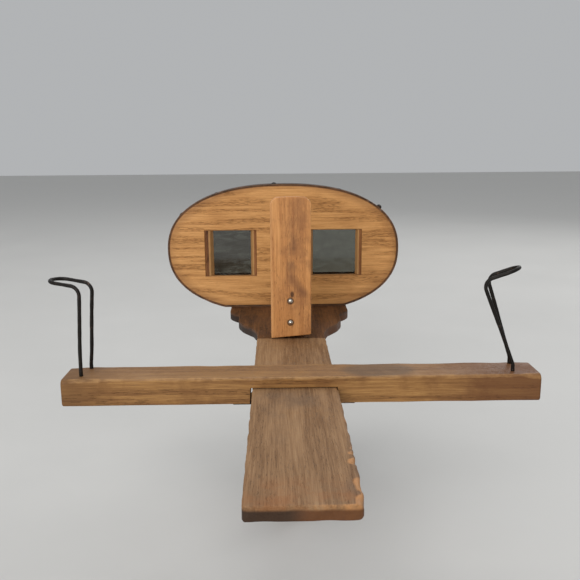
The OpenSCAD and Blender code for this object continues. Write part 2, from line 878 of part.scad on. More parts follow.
shaft();
lens_board();
lens_left();
lens_right();
strip_left_outer();
strip_left_inner();
strip_right_outer();
strip_right_inner();
lens_keeper_left();
lens_keeper_right();
keeper_brads();
hood();
hood_binding();
hood_tacks();
septum_board();
septum_block();
septum_nails();
shaft_screws();
handle_bracket();
bracket_screws();
hinge_pin();
crossbar();
wire_holder_left();
wire_holder_right();
keeper_strap();
strap_nails();
friction_leaf();
handle_grip();
handle_ferrule();
handle_tang();
ferrule_pin();
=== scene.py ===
"""A hand stereo viewer in worn wood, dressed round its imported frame.

Every new piece is a grid of points worked out with numpy: a section carried along a line, or a
surface over two parameters. Lengths are in metres, +X to the right, +Y to the eyes, +Z up.
"""
import math

import bmesh
import bpy
import numpy as np
from mathutils import Matrix, Vector


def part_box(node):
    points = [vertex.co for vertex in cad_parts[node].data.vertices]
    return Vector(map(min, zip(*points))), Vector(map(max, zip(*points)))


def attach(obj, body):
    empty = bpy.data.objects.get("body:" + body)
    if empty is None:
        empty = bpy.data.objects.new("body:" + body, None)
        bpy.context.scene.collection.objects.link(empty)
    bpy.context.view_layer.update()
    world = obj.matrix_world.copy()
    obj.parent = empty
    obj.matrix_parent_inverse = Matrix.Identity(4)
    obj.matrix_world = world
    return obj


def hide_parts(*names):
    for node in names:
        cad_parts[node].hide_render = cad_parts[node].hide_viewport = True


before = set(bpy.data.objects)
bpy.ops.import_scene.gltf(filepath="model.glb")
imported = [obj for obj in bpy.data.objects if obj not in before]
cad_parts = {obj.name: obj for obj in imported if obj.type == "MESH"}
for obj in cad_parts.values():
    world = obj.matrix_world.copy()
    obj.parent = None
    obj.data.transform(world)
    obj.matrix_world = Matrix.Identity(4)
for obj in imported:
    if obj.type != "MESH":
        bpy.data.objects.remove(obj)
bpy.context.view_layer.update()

MM = 0.001
SIDES = ((-1, "left"), (1, "right"))

# ---- places taken from the frame

SHAFT_LOW, SHAFT_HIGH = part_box("shaft")
BOARD_LOW, BOARD_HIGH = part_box("lens_board")
BAR_LOW, BAR_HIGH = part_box("crossbar")
SEPTUM_LOW, SEPTUM_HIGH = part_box("septum_board")
NAILS_LOW, NAILS_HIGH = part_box("septum_nails")
LENS_LOW, LENS_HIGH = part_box("lens_left")
LENS_RIGHT_LOW, LENS_RIGHT_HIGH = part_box("lens_right")
FERRULE_LOW, FERRULE_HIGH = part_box("handle_ferrule")

BOARD_MID = (BOARD_LOW.x + BOARD_HIGH.x) / 2
LENS_MID_Z = (LENS_LOW.z + LENS_HIGH.z) / 2
LENS_HALF_SPACING = (LENS_RIGHT_LOW.x + LENS_RIGHT_HIGH.x - LENS_LOW.x - LENS_HIGH.x) / 4
LENS_LAP = 2 * MM
LENS_GAP = 0.25 * MM
WINDOW_HALF_W = (LENS_HIGH.x - LENS_LOW.x) / 2 - LENS_LAP
WINDOW_HALF_H = (LENS_HIGH.z - LENS_LOW.z) / 2 - LENS_LAP
HOOD_T = BOARD_LOW.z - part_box("hood")[0].z
GRIP_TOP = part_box("handle_grip")[1].z
OVAL_POWER = 2.3
OVAL_HALF_W = (BOARD_HIGH.x - BOARD_LOW.x) / 2
OVAL_HALF_H = 38 * MM
OVAL_Z = BOARD_HIGH.z - OVAL_HALF_H
SHAFT_TOP = SHAFT_HIGH.z


# ---- mesh tools

def wander(*places, seed, step, waves=7):
    """A smooth random field of about -1 to 1: a sum of sine waves in random directions, whose
    lengths lie round step."""
    draws = np.random.default_rng(seed)
    total = 0.0
    for _ in range(waves):
        heading = draws.normal(size=len(places))
        heading = heading / np.linalg.norm(heading)
        length = step * draws.uniform(0.6, 1.7)
        along = sum(p * h for p, h in zip(places, heading))
        total = total + np.sin(2 * np.pi * along / length + draws.uniform(0, 2 * np.pi))
    return total / math.sqrt(waves)


def smooth(x, start, end):
    """Rises from 0 at start to 1 at end along 3t^2 - 2t^3."""
    t = np.clip((x - start) / (end - start), 0, 1)
    return t * t * (3 - 2 * t)


def grid(x, y, z):
    """Points from three coordinates, each a number or an array that fits the others' shape."""
    return np.stack(np.broadcast_arrays(x, y, z), -1)


def unit(vectors):
    """Each row of vectors at length 1."""
    return vectors / np.linalg.norm(vectors, axis=1)[:, None]


def full_turn(count):
    """Angles evenly spread round a full turn."""
    return np.linspace(0, 2 * math.pi, count + 1)[:-1]


def place(name, data):
    """Puts a mesh, lamp or camera in the scene as an object of that name."""
    made = bpy.data.objects.new(name, data)
    bpy.context.scene.collection.objects.link(made)
    return made


def grid_quads(rows, cols, wrap_rows, wrap_cols):
    """Four corners of each cell of a grid; a wrapped side joins its last line to its first."""
    r = np.arange(rows if wrap_rows else rows - 1)[:, None]
    c = np.arange(cols if wrap_cols else cols - 1)[None, :]
    r_next = (r + 1) % rows
    c_next = (c + 1) % cols
    return np.stack([r * cols + c, r * cols + c_next, r_next * cols + c_next, r_next * cols + c], -1)


class Sheet:
    """One grid of points: points is rows x cols x 3, worn is how rubbed each point is, and keep
    says which cells are drawn."""

    def __init__(self, points, worn=0.0, wrap_rows=False, wrap_cols=False, keep=None):
        self.points = points
        self.worn = np.broadcast_to(worn, points.shape[:2])
        self.wrap_rows = wrap_rows
        self.wrap_cols = wrap_cols
        self.keep = keep


def make_piece(name, node, finish, sheets, body="viewer", sharp=40):
    """Joins sheets into one closed mesh whose faces point outwards, puts it on its body and lets
    it stand for a CAD node. Edges turned by more than sharp degrees stay crisp."""
    points, worn, quads, start = [], [], [], 0
    for sheet in sheets:
        rows, cols = sheet.points.shape[:2]
        cells = grid_quads(rows, cols, sheet.wrap_rows, sheet.wrap_cols)
        if sheet.keep is not None:
            cells = cells[sheet.keep]
        quads.append(cells.reshape(-1, 4) + start)
        points.append(sheet.points.reshape(-1, 3))
        worn.append(sheet.worn.reshape(-1))
        start += rows * cols
    mesh = bpy.data.meshes.new(name)
    mesh.from_pydata(np.concatenate(points).tolist(), [], np.concatenate(quads).tolist())
    rubbed = mesh.attributes.new("worn", "FLOAT", "POINT")
    rubbed.data.foreach_set("value", np.concatenate(worn).astype(np.float32))
    shape = bmesh.new()
    shape.from_mesh(mesh)
    bmesh.ops.remove_doubles(shape, verts=shape.verts, dist=2e-6)
    bmesh.ops.dissolve_degenerate(shape, edges=shape.edges, dist=1e-7)
    bmesh.ops.recalc_face_normals(shape, faces=shape.faces)
    shape.to_mesh(mesh)
    shape.free()
    mesh.shade_smooth()
    mesh.set_sharp_from_angle(angle=math.radians(sharp))
    mesh.materials.append(finish)
    made = place(name, mesh)
    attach(made, body)
    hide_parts(node)
    return made


def rounded_section(a_low, a_high, b_low, b_high, radii, run_a, run_b, turn=5):
    """The outline of a rectangle with rounded corners, at many stations at once: four quarter
    circles of turn points, joined by straight runs of run_a or run_b points. The corners go round
    from high a, high b by way of low a, high b. Returns a, b and how close each point is to a
    corner, each stations x points."""
    a_cols, b_cols, corner_cols = [], [], []
    signs = [(1, 1), (-1, 1), (-1, -1), (1, -1)]
    arcs = []
    for corner, (sign_a, sign_b) in enumerate(signs):
        r = radii[corner]
        mid_a = a_high - r if sign_a > 0 else a_low + r
        mid_b = b_high - r if sign_b > 0 else b_low + r
        angle = math.pi / 2 * (corner + np.linspace(0, 1, turn))
        arc_a = mid_a[:, None] + r[:, None] * np.cos(angle)
        arc_b = mid_b[:, None] + r[:, None] * np.sin(angle)
        arcs.append((arc_a, arc_b))
    for corner in range(4):
        here = arcs[corner]
        there = arcs[(corner + 1) % 4]
        count = run_a if corner % 2 == 0 else run_b
        t = np.linspace(0, 1, count + 2)[1:-1]
        a_run = here[0][:, -1:] + (there[0][:, :1] - here[0][:, -1:]) * t
        b_run = here[1][:, -1:] + (there[1][:, :1] - here[1][:, -1:]) * t
        a_cols += [here[0], a_run]
        b_cols += [here[1], b_run]
        corner_cols += [np.ones(turn), np.exp(-np.minimum(t, 1 - t) * count * 0.9)]
    a = np.concatenate(a_cols, 1)
    b = np.concatenate(b_cols, 1)
    return a, b, np.broadcast_to(np.concatenate(corner_cols), a.shape)


def drawn_in(start, end, step, radius, half):
    """Stations from start to end for a bar whose end edges are rounded: at each end the section
    grows from its middle line to the full outline less radius, then the rounding takes it to the
    full outline. Returns the stations and how far the outline is drawn in at each."""
    cap = np.linspace(half, radius, 6)[:-1]
    angle = np.linspace(0, math.pi / 2, 6)
    near = np.concatenate([np.full(5, start), start + radius * (1 - np.cos(angle))])
    near_in = np.concatenate([cap, radius * (1 - np.sin(angle))])
    count = max(int((end - start - 2 * radius) / step), 2)
    middle = np.linspace(start + radius, end - radius, count + 1)[1:-1]
    stations = np.concatenate([near, middle, (start + end - near)[::-1]])
    return stations, np.concatenate([near_in, np.zeros(count - 1), near_in[::-1]])


# ---- finish tools

def colour(red, green, blue):
    """A screen colour of 0 to 255 as linear light."""
    parts = np.array([red, green, blue]) / 255
    return (*np.where(parts <= 0.04045, parts / 12.92, ((parts + 0.055) / 1.055) ** 2.4).tolist(), 1.0)


class Finish:
    """A material and the few node steps that all of the finishes share."""

    def __init__(self, name, **constants):
        self.material = bpy.data.materials.new(name)
        self.material.use_nodes = True
        self.tree = self.material.node_tree
        self.tree.nodes.clear()
        self.shader = self.tree.nodes.new("ShaderNodeBsdfPrincipled")
        output = self.tree.nodes.new("ShaderNodeOutputMaterial")
        self.tree.links.new(self.shader.outputs[0], output.inputs[0])
        self.coords = self.add("TexCoord", {}).outputs["Object"]
        for name, value in constants.items():
            self.shader.inputs[name.replace("_", " ")].default_value = value

    def add(self, kind, inputs, **settings):
        """Adds a node of a kind, with its settings and its inputs."""
        node = self.tree.nodes.new("ShaderNode" + kind)
        for name, value in settings.items():
            setattr(node, name, value)
        for name, value in inputs.items():
            self.feed(node.inputs[name], value)
        return node

    def feed(self, socket, value):
        """Links or sets a socket. Three numbers in a colour socket are a screen colour."""
        if isinstance(value, bpy.types.NodeSocket):
            self.tree.links.new(value, socket)
        elif socket.type == "RGBA" and len(value) == 3:
            socket.default_value = colour(*value)
        else:
            socket.default_value = value

    def stretched(self, scale, shift=(0, 0, 0)):
        """Object coordinates with one unit every so many metres along each axis."""
        sizes = tuple(1 / s for s in scale)
        return self.add("Mapping", {"Vector": self.coords, "Location": shift, "Scale": sizes}).outputs[0]

    def noise(self, sizes, detail=5, rough=0.6, swirl=0.0, shift=(0, 0, 0)):
        """A cloudy pattern whose patches have about these sizes: one for all axes, or three."""
        if not isinstance(sizes, tuple):
            sizes = (sizes, sizes, sizes)
        inputs = {"Vector": self.stretched(sizes, shift), "Scale": 1.0, "Detail": detail,
                  "Roughness": rough, "Distortion": swirl}
        return self.add("TexNoise", inputs).outputs[0]

    def math(self, act, a, b=0.0, clamp=False):
        return self.add("Math", {0: a, 1: b}, operation=act, use_clamp=clamp).outputs[0]

    def times(self, a, b):
        return self.math("MULTIPLY", a, b)

    def plus(self, a, b):
        return self.math("ADD", a, b)

    def level(self, value, low, high, to_low=0.0, to_high=1.0):
        """Low to high becomes to_low to to_high along a smooth step."""
        inputs = {"Value": value, "From Min": low, "From Max": high,
                  "To Min": to_low, "To Max": to_high}
        return self.add("MapRange", inputs, interpolation_type="SMOOTHSTEP").outputs[0]

    def mix(self, share, a, b):
        """Goes from colour a to colour b as share goes from 0 to 1."""
        node = self.add("Mix", {}, data_type="RGBA")
        self.feed(node.inputs[0], share)
        self.feed(node.inputs[6], a)
        self.feed(node.inputs[7], b)
        return node.outputs[2]

    def ramp(self, value, stops):
        """Turns a value into a colour between stops, each a position and a screen colour."""
        node = self.add("ValToRGB", {0: value})
        points = node.color_ramp.elements
        while len(points) < len(stops):
            points.new(0.5)
        for point, (position, shade) in zip(points, stops):
            point.position = position
            point.color = colour(*shade)
        return node.outputs[0]

    def axis(self, index):
        """The X, Y or Z coordinate, for an index of 0, 1 or 2."""
        return self.add("SeparateXYZ", {0: self.coords}).outputs[index]

    def near(self, middle, sizes):
        """Distance from a place in the piece, in units of sizes along each axis."""
        shift = tuple(-m / s for m, s in zip(middle, sizes))
        space = self.stretched(sizes, shift)
        return self.add("VectorMath", {0: space}, operation="LENGTH").outputs["Value"]

    def worn(self):
        """How rubbed the surface is, from the piece's own attribute."""
        return self.add("Attribute", {}, attribute_name="worn").outputs["Fac"]

    def bump(self, height, depth, strength=1.0):
        """Raises the surface by a height pattern, on top of the bumps before it."""
        before = self.shader.inputs["Normal"].links
        inputs = {"Height": height, "Distance": depth, "Strength": strength}
        if before:
            inputs["Normal"] = before[0].from_socket
        node = self.add("Bump", inputs)
        self.feed(self.shader.inputs["Normal"], node.outputs[0])

    def finish(self, shade, rough=None):
        self.feed(self.shader.inputs["Base Color"], shade)
        if rough is not None:
            self.feed(self.shader.inputs["Roughness"], rough)
        return self.material


class Wood(Finish):
    """Sawn, oiled and handled wood: wavy year lines, long streaks and short dark pores along the
    grain, blotches of old polish, and paler rubbed edges. along is the grain's axis, and weights are
    the shares of the year lines, the streaks and the fine grain."""

    def __init__(self, name, along, shades, year_lines=7.0, pore_share=0.55, year_w=11 * MM, shift=0.0,
                 weights=(0.3, 0.75, 0.3), pore_dark=0.5):
        super().__init__(name, Specular_IOR_Level=0.35, IOR=1.45)
        light, middle, dark = shades

        def along_grain(length, width, detail, rough, swirl=0.0):
            sizes = [width] * 3
            sizes[along] = length
            return self.noise(tuple(sizes), detail, rough, swirl, (shift, shift * 0.7, shift * 1.3))

        figure = along_grain(150 * MM, year_w, 2, 0.45, swirl=0.3)
        bands = self.math("SINE", self.times(figure, year_lines * 2 * math.pi))
        bands = self.level(bands, -1.0, 1.0)
        streaks = along_grain(34 * MM, 1.1 * MM, 6, 0.65)
        fine = along_grain(14 * MM, 0.45 * MM, 4, 0.65)
        tone = self.times(bands, weights[0])
        tone = self.plus(tone, self.times(streaks, weights[1]))
        self.grain = self.plus(tone, self.times(fine, weights[2]))
        shade = self.ramp(self.grain, [(0.42, light), (0.62, middle), (0.86, dark)])
        pores = along_grain(3.2 * MM, 0.28 * MM, 2, 0.5)
        pores = self.level(pores, pore_share, pore_share + 0.1)
        self.pores = self.times(pores, self.level(bands, 0.25, 0.85, 0.25, 1.0))
        darker = tuple(0.34 * c for c in colour(*dark)[:3]) + (1.0,)
        self.shade = self.mix(self.times(self.pores, pore_dark), shade, darker)
        self.blotch = self.noise(17 * MM, shift=(shift, 0, 0))
        self.flecks = along_grain(5 * MM, 2.2 * MM, 5, 0.7)

    def stain(self, share, shade):
        """Lays another colour over the wood, by share."""
        self.shade = self.mix(share, self.shade, shade)

    def stain_where(self, value, low, high, share, shade):
        """Stains the wood more as a value goes from low to high, by share at most."""
        self.stain(self.level(value, low, high, 0.0, share), shade)

    def wear(self, pale, amount):
        """Shows paler wood where the surface is rubbed, broken up by flecks and blotches."""
        broken = self.plus(self.worn(), self.times(self.blotch, 0.4))
        broken = self.plus(broken, self.times(self.flecks, 0.7))
        self.stain_where(broken, 0.9, 1.35, amount, pale)

    def done(self, rough_low, rough_high, depth=0.12 * MM):
        """Gives the wood its roughness, its raised grain and small dents."""
        rough = self.level(self.blotch, 0.3, 0.7, rough_low, rough_high)
        rough = self.math("ADD", rough, self.times(self.pores, 0.15), clamp=True)
        height = self.math("SUBTRACT", self.times(self.grain, -0.5), self.pores)
        self.bump(height, depth, 0.8)
        dents = self.noise(3.5 * MM, 3, 0.5)
        self.bump(dents, 0.18 * MM, 0.5)
        return self.finish(self.shade, rough)


# ---- finishes

def shaft_finish():
    """Dull brown wood, greyed where the crossbar rubs, and dark behind the septum, partly with its old
    polish and partly with painted shade.
    """
    shades = ((164, 130, 94), (146, 112, 78), (114, 82, 52))
    wood = Wood("shaft_wood", 1, shades, year_lines=2.5, pore_share=0.6, year_w=16 * MM, shift=3.1,
                weights=(0.15, 0.6, 0.6), pore_dark=0.28)
    y = wood.axis(1)
    ragged = wood.times(wood.math("SUBTRACT", wood.blotch, 0.5), 3 * MM)
    # Behind the septum the shaft is darkened: partly its old polish, partly painted shade in the nook
    # between the septum and the lens board.
    polish_and_shade = wood.level(wood.plus(y, ragged), SEPTUM_LOW.y - 0.4 * MM, SEPTUM_LOW.y + 1.6 * MM)
    polished_and_shaded = wood.ramp(wood.grain, [(0.45, (120, 80, 46)), (0.64, (92, 58, 31)), (0.84, (58, 35, 18))])
    polished_and_shaded = wood.mix(wood.times(wood.pores, 0.8), polished_and_shaded, (34, 21, 12))
    front = wood.level(y, SHAFT_LOW.y + 26 * MM, SHAFT_LOW.y + 2 * MM, 0.0, 0.45)
    wood.stain(wood.times(front, wood.level(wood.blotch, 0.42, 0.62)), (150, 92, 48))
    grime = wood.noise((24 * MM, 40 * MM, 24 * MM), 4)
    wood.stain_where(grime, 0.52, 0.72, 0.45, (92, 74, 60))
    wood.stain(polish_and_shade, polished_and_shaded)
    wood.wear((206, 146, 90), 0.65)
    sides = wood.level(wood.axis(2), SHAFT_TOP - 0.8 * MM, SHAFT_TOP - 2.0 * MM, 0.0, 0.9)
    dark_end = wood.level(wood.axis(0), 3 * MM, -5 * MM)
    wood.stain(sides, wood.mix(dark_end, (96, 56, 26), (42, 28, 18)))
    return wood.done(0.42, 0.66)


def lens_board_finish():
    """Golden oak-like wood with its grain from side to side, and grime towards its rim."""
    shades = ((228, 170, 106), (208, 150, 88), (170, 116, 62))
    wood = Wood("lens_board_wood", 0, shades, year_lines=6.5, pore_share=0.54, year_w=15 * MM,
                shift=0.4, weights=(0.13, 0.6, 0.62))
    wood.stain_where(wood.blotch, 0.5, 0.78, 0.25, (146, 92, 44))
    reach = wood.near((BOARD_MID, BOARD_LOW.y, OVAL_Z), (OVAL_HALF_W, 1.0, OVAL_HALF_H))
    wood.stain_where(reach, 0.92, 1.03, 0.4, (112, 68, 34))
    wood.wear((120, 74, 36), 0.7)
    return wood.done(0.4, 0.6)


def strip_finish():
    """Darker red-brown wood of the window strips and lens keepers, with upright grain."""
    shades = ((168, 112, 64), (134, 84, 44), (84, 48, 24))
    wood = Wood("strip_wood", 2, shades, year_lines=4, pore_share=0.54, shift=1.7,
                weights=(0.2, 0.6, 0.55))
    wood.wear((196, 148, 92), 0.7)
    return wood.done(0.45, 0.65)


def septum_finish():
    """Orange-brown wood with upright grain, a slanting dark stain and rust round the nails."""
    shades = ((228, 168, 106), (212, 150, 90), (180, 120, 68))
    wood = Wood("septum_wood", 2, shades, year_lines=2.5, pore_share=0.6, year_w=9 * MM, shift=5.3,
                weights=(0.15, 0.6, 0.6))
    wood.stain_where(wood.blotch, 0.48, 0.7, 0.5, (122, 78, 52))
    haze = wood.near((0, SEPTUM_LOW.y, SEPTUM_LOW.z + 42 * MM), (6 * MM, 1.0, 16 * MM))
    cloudy = wood.level(wood.noise((5 * MM, 5 * MM, 9 * MM)), 0.4, 0.62)
    wood.stain(wood.times(wood.level(haze, 1.1, 0.2, 0.0, 0.5), cloudy), (96, 66, 50))
    x, z = wood.axis(0), wood.axis(2)
    slant = wood.plus(z, wood.times(x, 1.35))
    slant = wood.plus(slant, wood.times(wood.blotch, 3 * MM))
    off_line = wood.math("ABSOLUTE", wood.math("SUBTRACT", slant, SHAFT_TOP + 33.5 * MM))
    streak = wood.level(off_line, 6.0 * MM, 0.4 * MM)
    streak = wood.times(streak, wood.level(x, -3 * MM, 1 * MM))
    streak = wood.times(streak, wood.level(z, SHAFT_TOP + 18 * MM, SHAFT_TOP + 25 * MM))
    wood.stain(wood.times(streak, 0.5), (92, 54, 40))
    nail_x = (NAILS_LOW.x + NAILS_HIGH.x) / 2
    for nail_z in (NAILS_LOW.z + 1.2 * MM, NAILS_HIGH.z - 1.2 * MM):
        ring = wood.near((nail_x, SEPTUM_LOW.y, nail_z), (1.9 * MM, 1.0, 1.9 * MM))
        wood.stain_where(ring, 1.15, 0.7, 0.85, (38, 24, 18))
    rust_middle = (nail_x + 0.9 * MM, SEPTUM_LOW.y, NAILS_HIGH.z + 2.2 * MM)
    rust = wood.near(rust_middle, (1.1 * MM, 1.0, 1.9 * MM))
    wood.stain_where(rust, 1.1, 0.5, 0.8, (58, 32, 20))
    wood.wear((205, 150, 96), 0.6)
    return wood.done(0.38, 0.58)


def crossbar_finish():
    """Brown wood with its grain along the bar, greyed on top by a painted sheen, with reddish dark ends."""
    shades = ((186, 140, 84), (158, 114, 64), (120, 80, 42))
    wood = Wood("crossbar_wood", 0, shades, year_lines=4.0, pore_share=0.58, year_w=7 * MM,
                shift=9.2, weights=(0.13, 0.55, 0.68))
    wood.stain_where(wood.blotch, 0.47, 0.68, 0.55, (116, 76, 40))
    # Painted sheen: the top face is greyed as if it reflected the pale sky.
    top = wood.level(wood.axis(2), BAR_HIGH.z - 0.9 * MM, BAR_HIGH.z - 0.2 * MM)
    wood.stain(wood.times(top, 0.4), (132, 104, 78))
    ragged = wood.times(wood.math("SUBTRACT", wood.blotch, 0.5), 30 * MM)
    x = wood.plus(wood.axis(0), ragged)
    wood.stain_where(x, BAR_HIGH.x - 58 * MM, BAR_HIGH.x - 8 * MM, 0.8, (104, 64, 36))
    wood.stain_where(x, BAR_LOW.x + 26 * MM, BAR_LOW.x + 2 * MM, 0.6, (100, 66, 34))
    patch_middle = (35 * MM, (BAR_LOW.y + BAR_HIGH.y) / 2, BAR_HIGH.z)
    patch = wood.near(patch_middle, (17 * MM, 9 * MM, 1.2 * MM))
    wood.stain(wood.times(wood.level(patch, 1.1, 0.7, 0.0, 0.55), top), (88, 74, 62))
    wood.wear((200, 154, 98), 0.5)
    return wood.done(0.4, 0.62)


def handle_finish():
    """Turned wood with red-brown polish, worn by the hand."""
    shades = ((156, 96, 52), (122, 70, 34), (74, 38, 18))
    wood = Wood("handle_wood", 2, shades, year_lines=4, pore_share=0.58, year_w=8 * MM, shift=2.2,
                weights=(0.2, 0.6, 0.55))
    wood.stain_where(wood.blotch, 0.48, 0.72, 0.5, (74, 40, 20))
    wood.wear((190, 132, 80), 0.7)
    return wood.done(0.28, 0.5, 0.08 * MM)


def veneer_finish():
    """The hood's thin bent veneer: dark brown, with its grain running back from the board."""
    shades = ((92, 58, 34), (66, 40, 24), (40, 24, 15))
    wood = Wood("hood_veneer", 1, shades, year_lines=2.5, pore_share=0.6, year_w=16 * MM, shift=6.1)
    wood.stain_where(wood.blotch, 0.4, 0.8, 0.3, (38, 25, 17))
    wood.wear((132, 92, 58), 0.55)
    return wood.done(0.34, 0.56, 0.07 * MM)


def velvet_finish():
    """Worn black-brown velvet: a fine pile with crushed patches and a soft sheen."""
    cloth = Finish("binding_velvet", Sheen_Weight=0.35, Sheen_Roughness=0.5, Specular_IOR_Level=0.15)
    pile = cloth.noise(0.35 * MM, 3, 0.7)
    crushed = cloth.noise(5 * MM, 4)
    shade = cloth.ramp(cloth.times(cloth.plus(pile, crushed), 0.5),
                       [(0.35, (20, 16, 18)), (0.6, (44, 36, 37)), (0.8, (74, 62, 58))])
    cloth.bump(pile, 0.25 * MM, 0.9)
    cloth.bump(crushed, 0.5 * MM, 0.5)
    return cloth.finish(shade, cloth.level(crushed, 0.3, 0.7, 0.8, 0.98))


def iron_finish():
    """Black iron wire and strap: a thin dull coat, brown where rust shows through."""
    iron = Finish("black_iron", Specular_IOR_Level=0.5)
    specks = iron.noise(0.4 * MM, 3)
    rusty = iron.level(iron.noise(2.2 * MM, 6, 0.7), 0.56, 0.7)
    shade = iron.mix(rusty, (36, 33, 30), (78, 54, 38))
    iron.feed(iron.shader.inputs["Metallic"], iron.level(rusty, 0.0, 1.0, 0.75, 0.15))
    iron.bump(specks, 0.06 * MM, 0.7)
    return iron.finish(shade, iron.level(specks, 0.3, 0.7, 0.34, 0.6))


def steel_finish():
    """Bright steel of the nails and pins, with fine scratches and dull spots."""
    steel = Finish("bright_steel", Metallic=1.0)
    scratches = steel.noise((0.15 * MM, 1.5 * MM, 0.15 * MM), 3)
    spots = steel.noise(0.9 * MM, 5, 0.7)
    shade = steel.mix(steel.level(spots, 0.52, 0.72, 0.0, 0.8), (205, 200, 190), (96, 82, 70))
    steel.bump(scratches, 0.02 * MM, 0.6)
    return steel.finish(shade, steel.level(spots, 0.35, 0.7, 0.2, 0.55))


def brass_finish():
    """Aged brass: golden where it is rubbed, brown in its tarnish."""
    brass = Finish("aged_brass", Metallic=1.0)
    tarnish = brass.noise(8 * MM, 4, 0.5)
    marks = brass.noise((0.12 * MM, 0.12 * MM, 2.5 * MM), 3)
    shade = brass.ramp(tarnish, [(0.34, (186, 150, 92)), (0.55, (154, 118, 68)), (0.74, (112, 84, 52))])
    brass.bump(marks, 0.02 * MM, 0.5)
    brass.bump(tarnish, 0.05 * MM, 0.3)
    return brass.finish(shade, brass.level(tarnish, 0.35, 0.68, 0.28, 0.5))


def glass_finish():
    """Old ground glass: a grey-green tint of painted shade, darker on the left, for the shaded hood and wall
    seen through it, with dust and a few wiped smears.
    """
    glass = Finish("lens_glass", IOR=1.52, Transmission_Weight=1.0)
    dust = glass.noise(0.5 * MM, 4, 0.7)
    smears = glass.noise((9 * MM, 9 * MM, 3 * MM), 4, swirl=1.2)
    # Painted shade: the glass is tinted dark, darker on the left lens, for the shade seen through the hood.
    shade_from_left = glass.level(glass.axis(0), -60 * MM, 60 * MM)
    shade_tint = glass.mix(shade_from_left, (64, 60, 52), (106, 107, 98))
    shade = glass.mix(glass.level(smears, 0.42, 0.7, 0.0, 0.6), shade_tint, (122, 124, 114))
    glass.bump(dust, 0.01 * MM, 0.3)
    return glass.finish(shade, glass.level(smears, 0.4, 0.75, 0.03, 0.16))


# ---- wooden pieces

SHAFT_HALF_W = 17.5 * MM
FLARE_LEN = 64 * MM
SHOULDER_HALF_W = 29 * MM
SHOULDER_START = 8 * MM
SHOULDER_LEN = 12 * MM
STEP_LEN = 8 * MM


def shaft_half_width(y):
    """Half the shaft's width at y: straight, then an ogee of two equal arcs, a short straight
    step, a convex shoulder arc and the full width under the lens board."""
    flare_half = (SHAFT_HIGH.x - SHAFT_LOW.x) / 2
    drop = flare_half - SHOULDER_HALF_W
    shoulder_r = (drop ** 2 + SHOULDER_LEN ** 2) / (2 * drop)
    ogee_len = FLARE_LEN - SHOULDER_START - SHOULDER_LEN - STEP_LEN
    ogee_drop = SHOULDER_HALF_W - SHAFT_HALF_W
    ogee_r = (ogee_len ** 2 + ogee_drop ** 2) / (4 * ogee_drop)
    first = y - (BOARD_LOW.y - FLARE_LEN)
    second = ogee_len - first
    third = BOARD_LOW.y - SHOULDER_START - y

    def arc(radius, along, longest):
        """How far an arc's end has sunk below its top, at a distance along its chord."""
        return radius - np.sqrt(np.maximum(radius ** 2 - np.clip(along, 0, longest) ** 2, 0))

    hollow = SHAFT_HALF_W + arc(ogee_r, first, ogee_len / 2)
    swell = SHOULDER_HALF_W - arc(ogee_r, second, ogee_len / 2)
    shoulder = flare_half - arc(shoulder_r, third, SHOULDER_LEN)
    half = np.where(first < ogee_len / 2, hollow, swell)
    return np.where(third < SHOULDER_LEN, shoulder, half)


def chips(s, middles, lengths, depths):
    """Bites out of an edge along s: each is deepest at its middle and falls to nothing at its
    length, along 1 - |s|^2.5."""
    total = np.zeros_like(s)
    for middle, length, depth in zip(middles, lengths, depths):
        total = np.maximum(total, depth * np.clip(1 - (np.abs(s - middle) / length) ** 2.5, 0, 1))
    return total


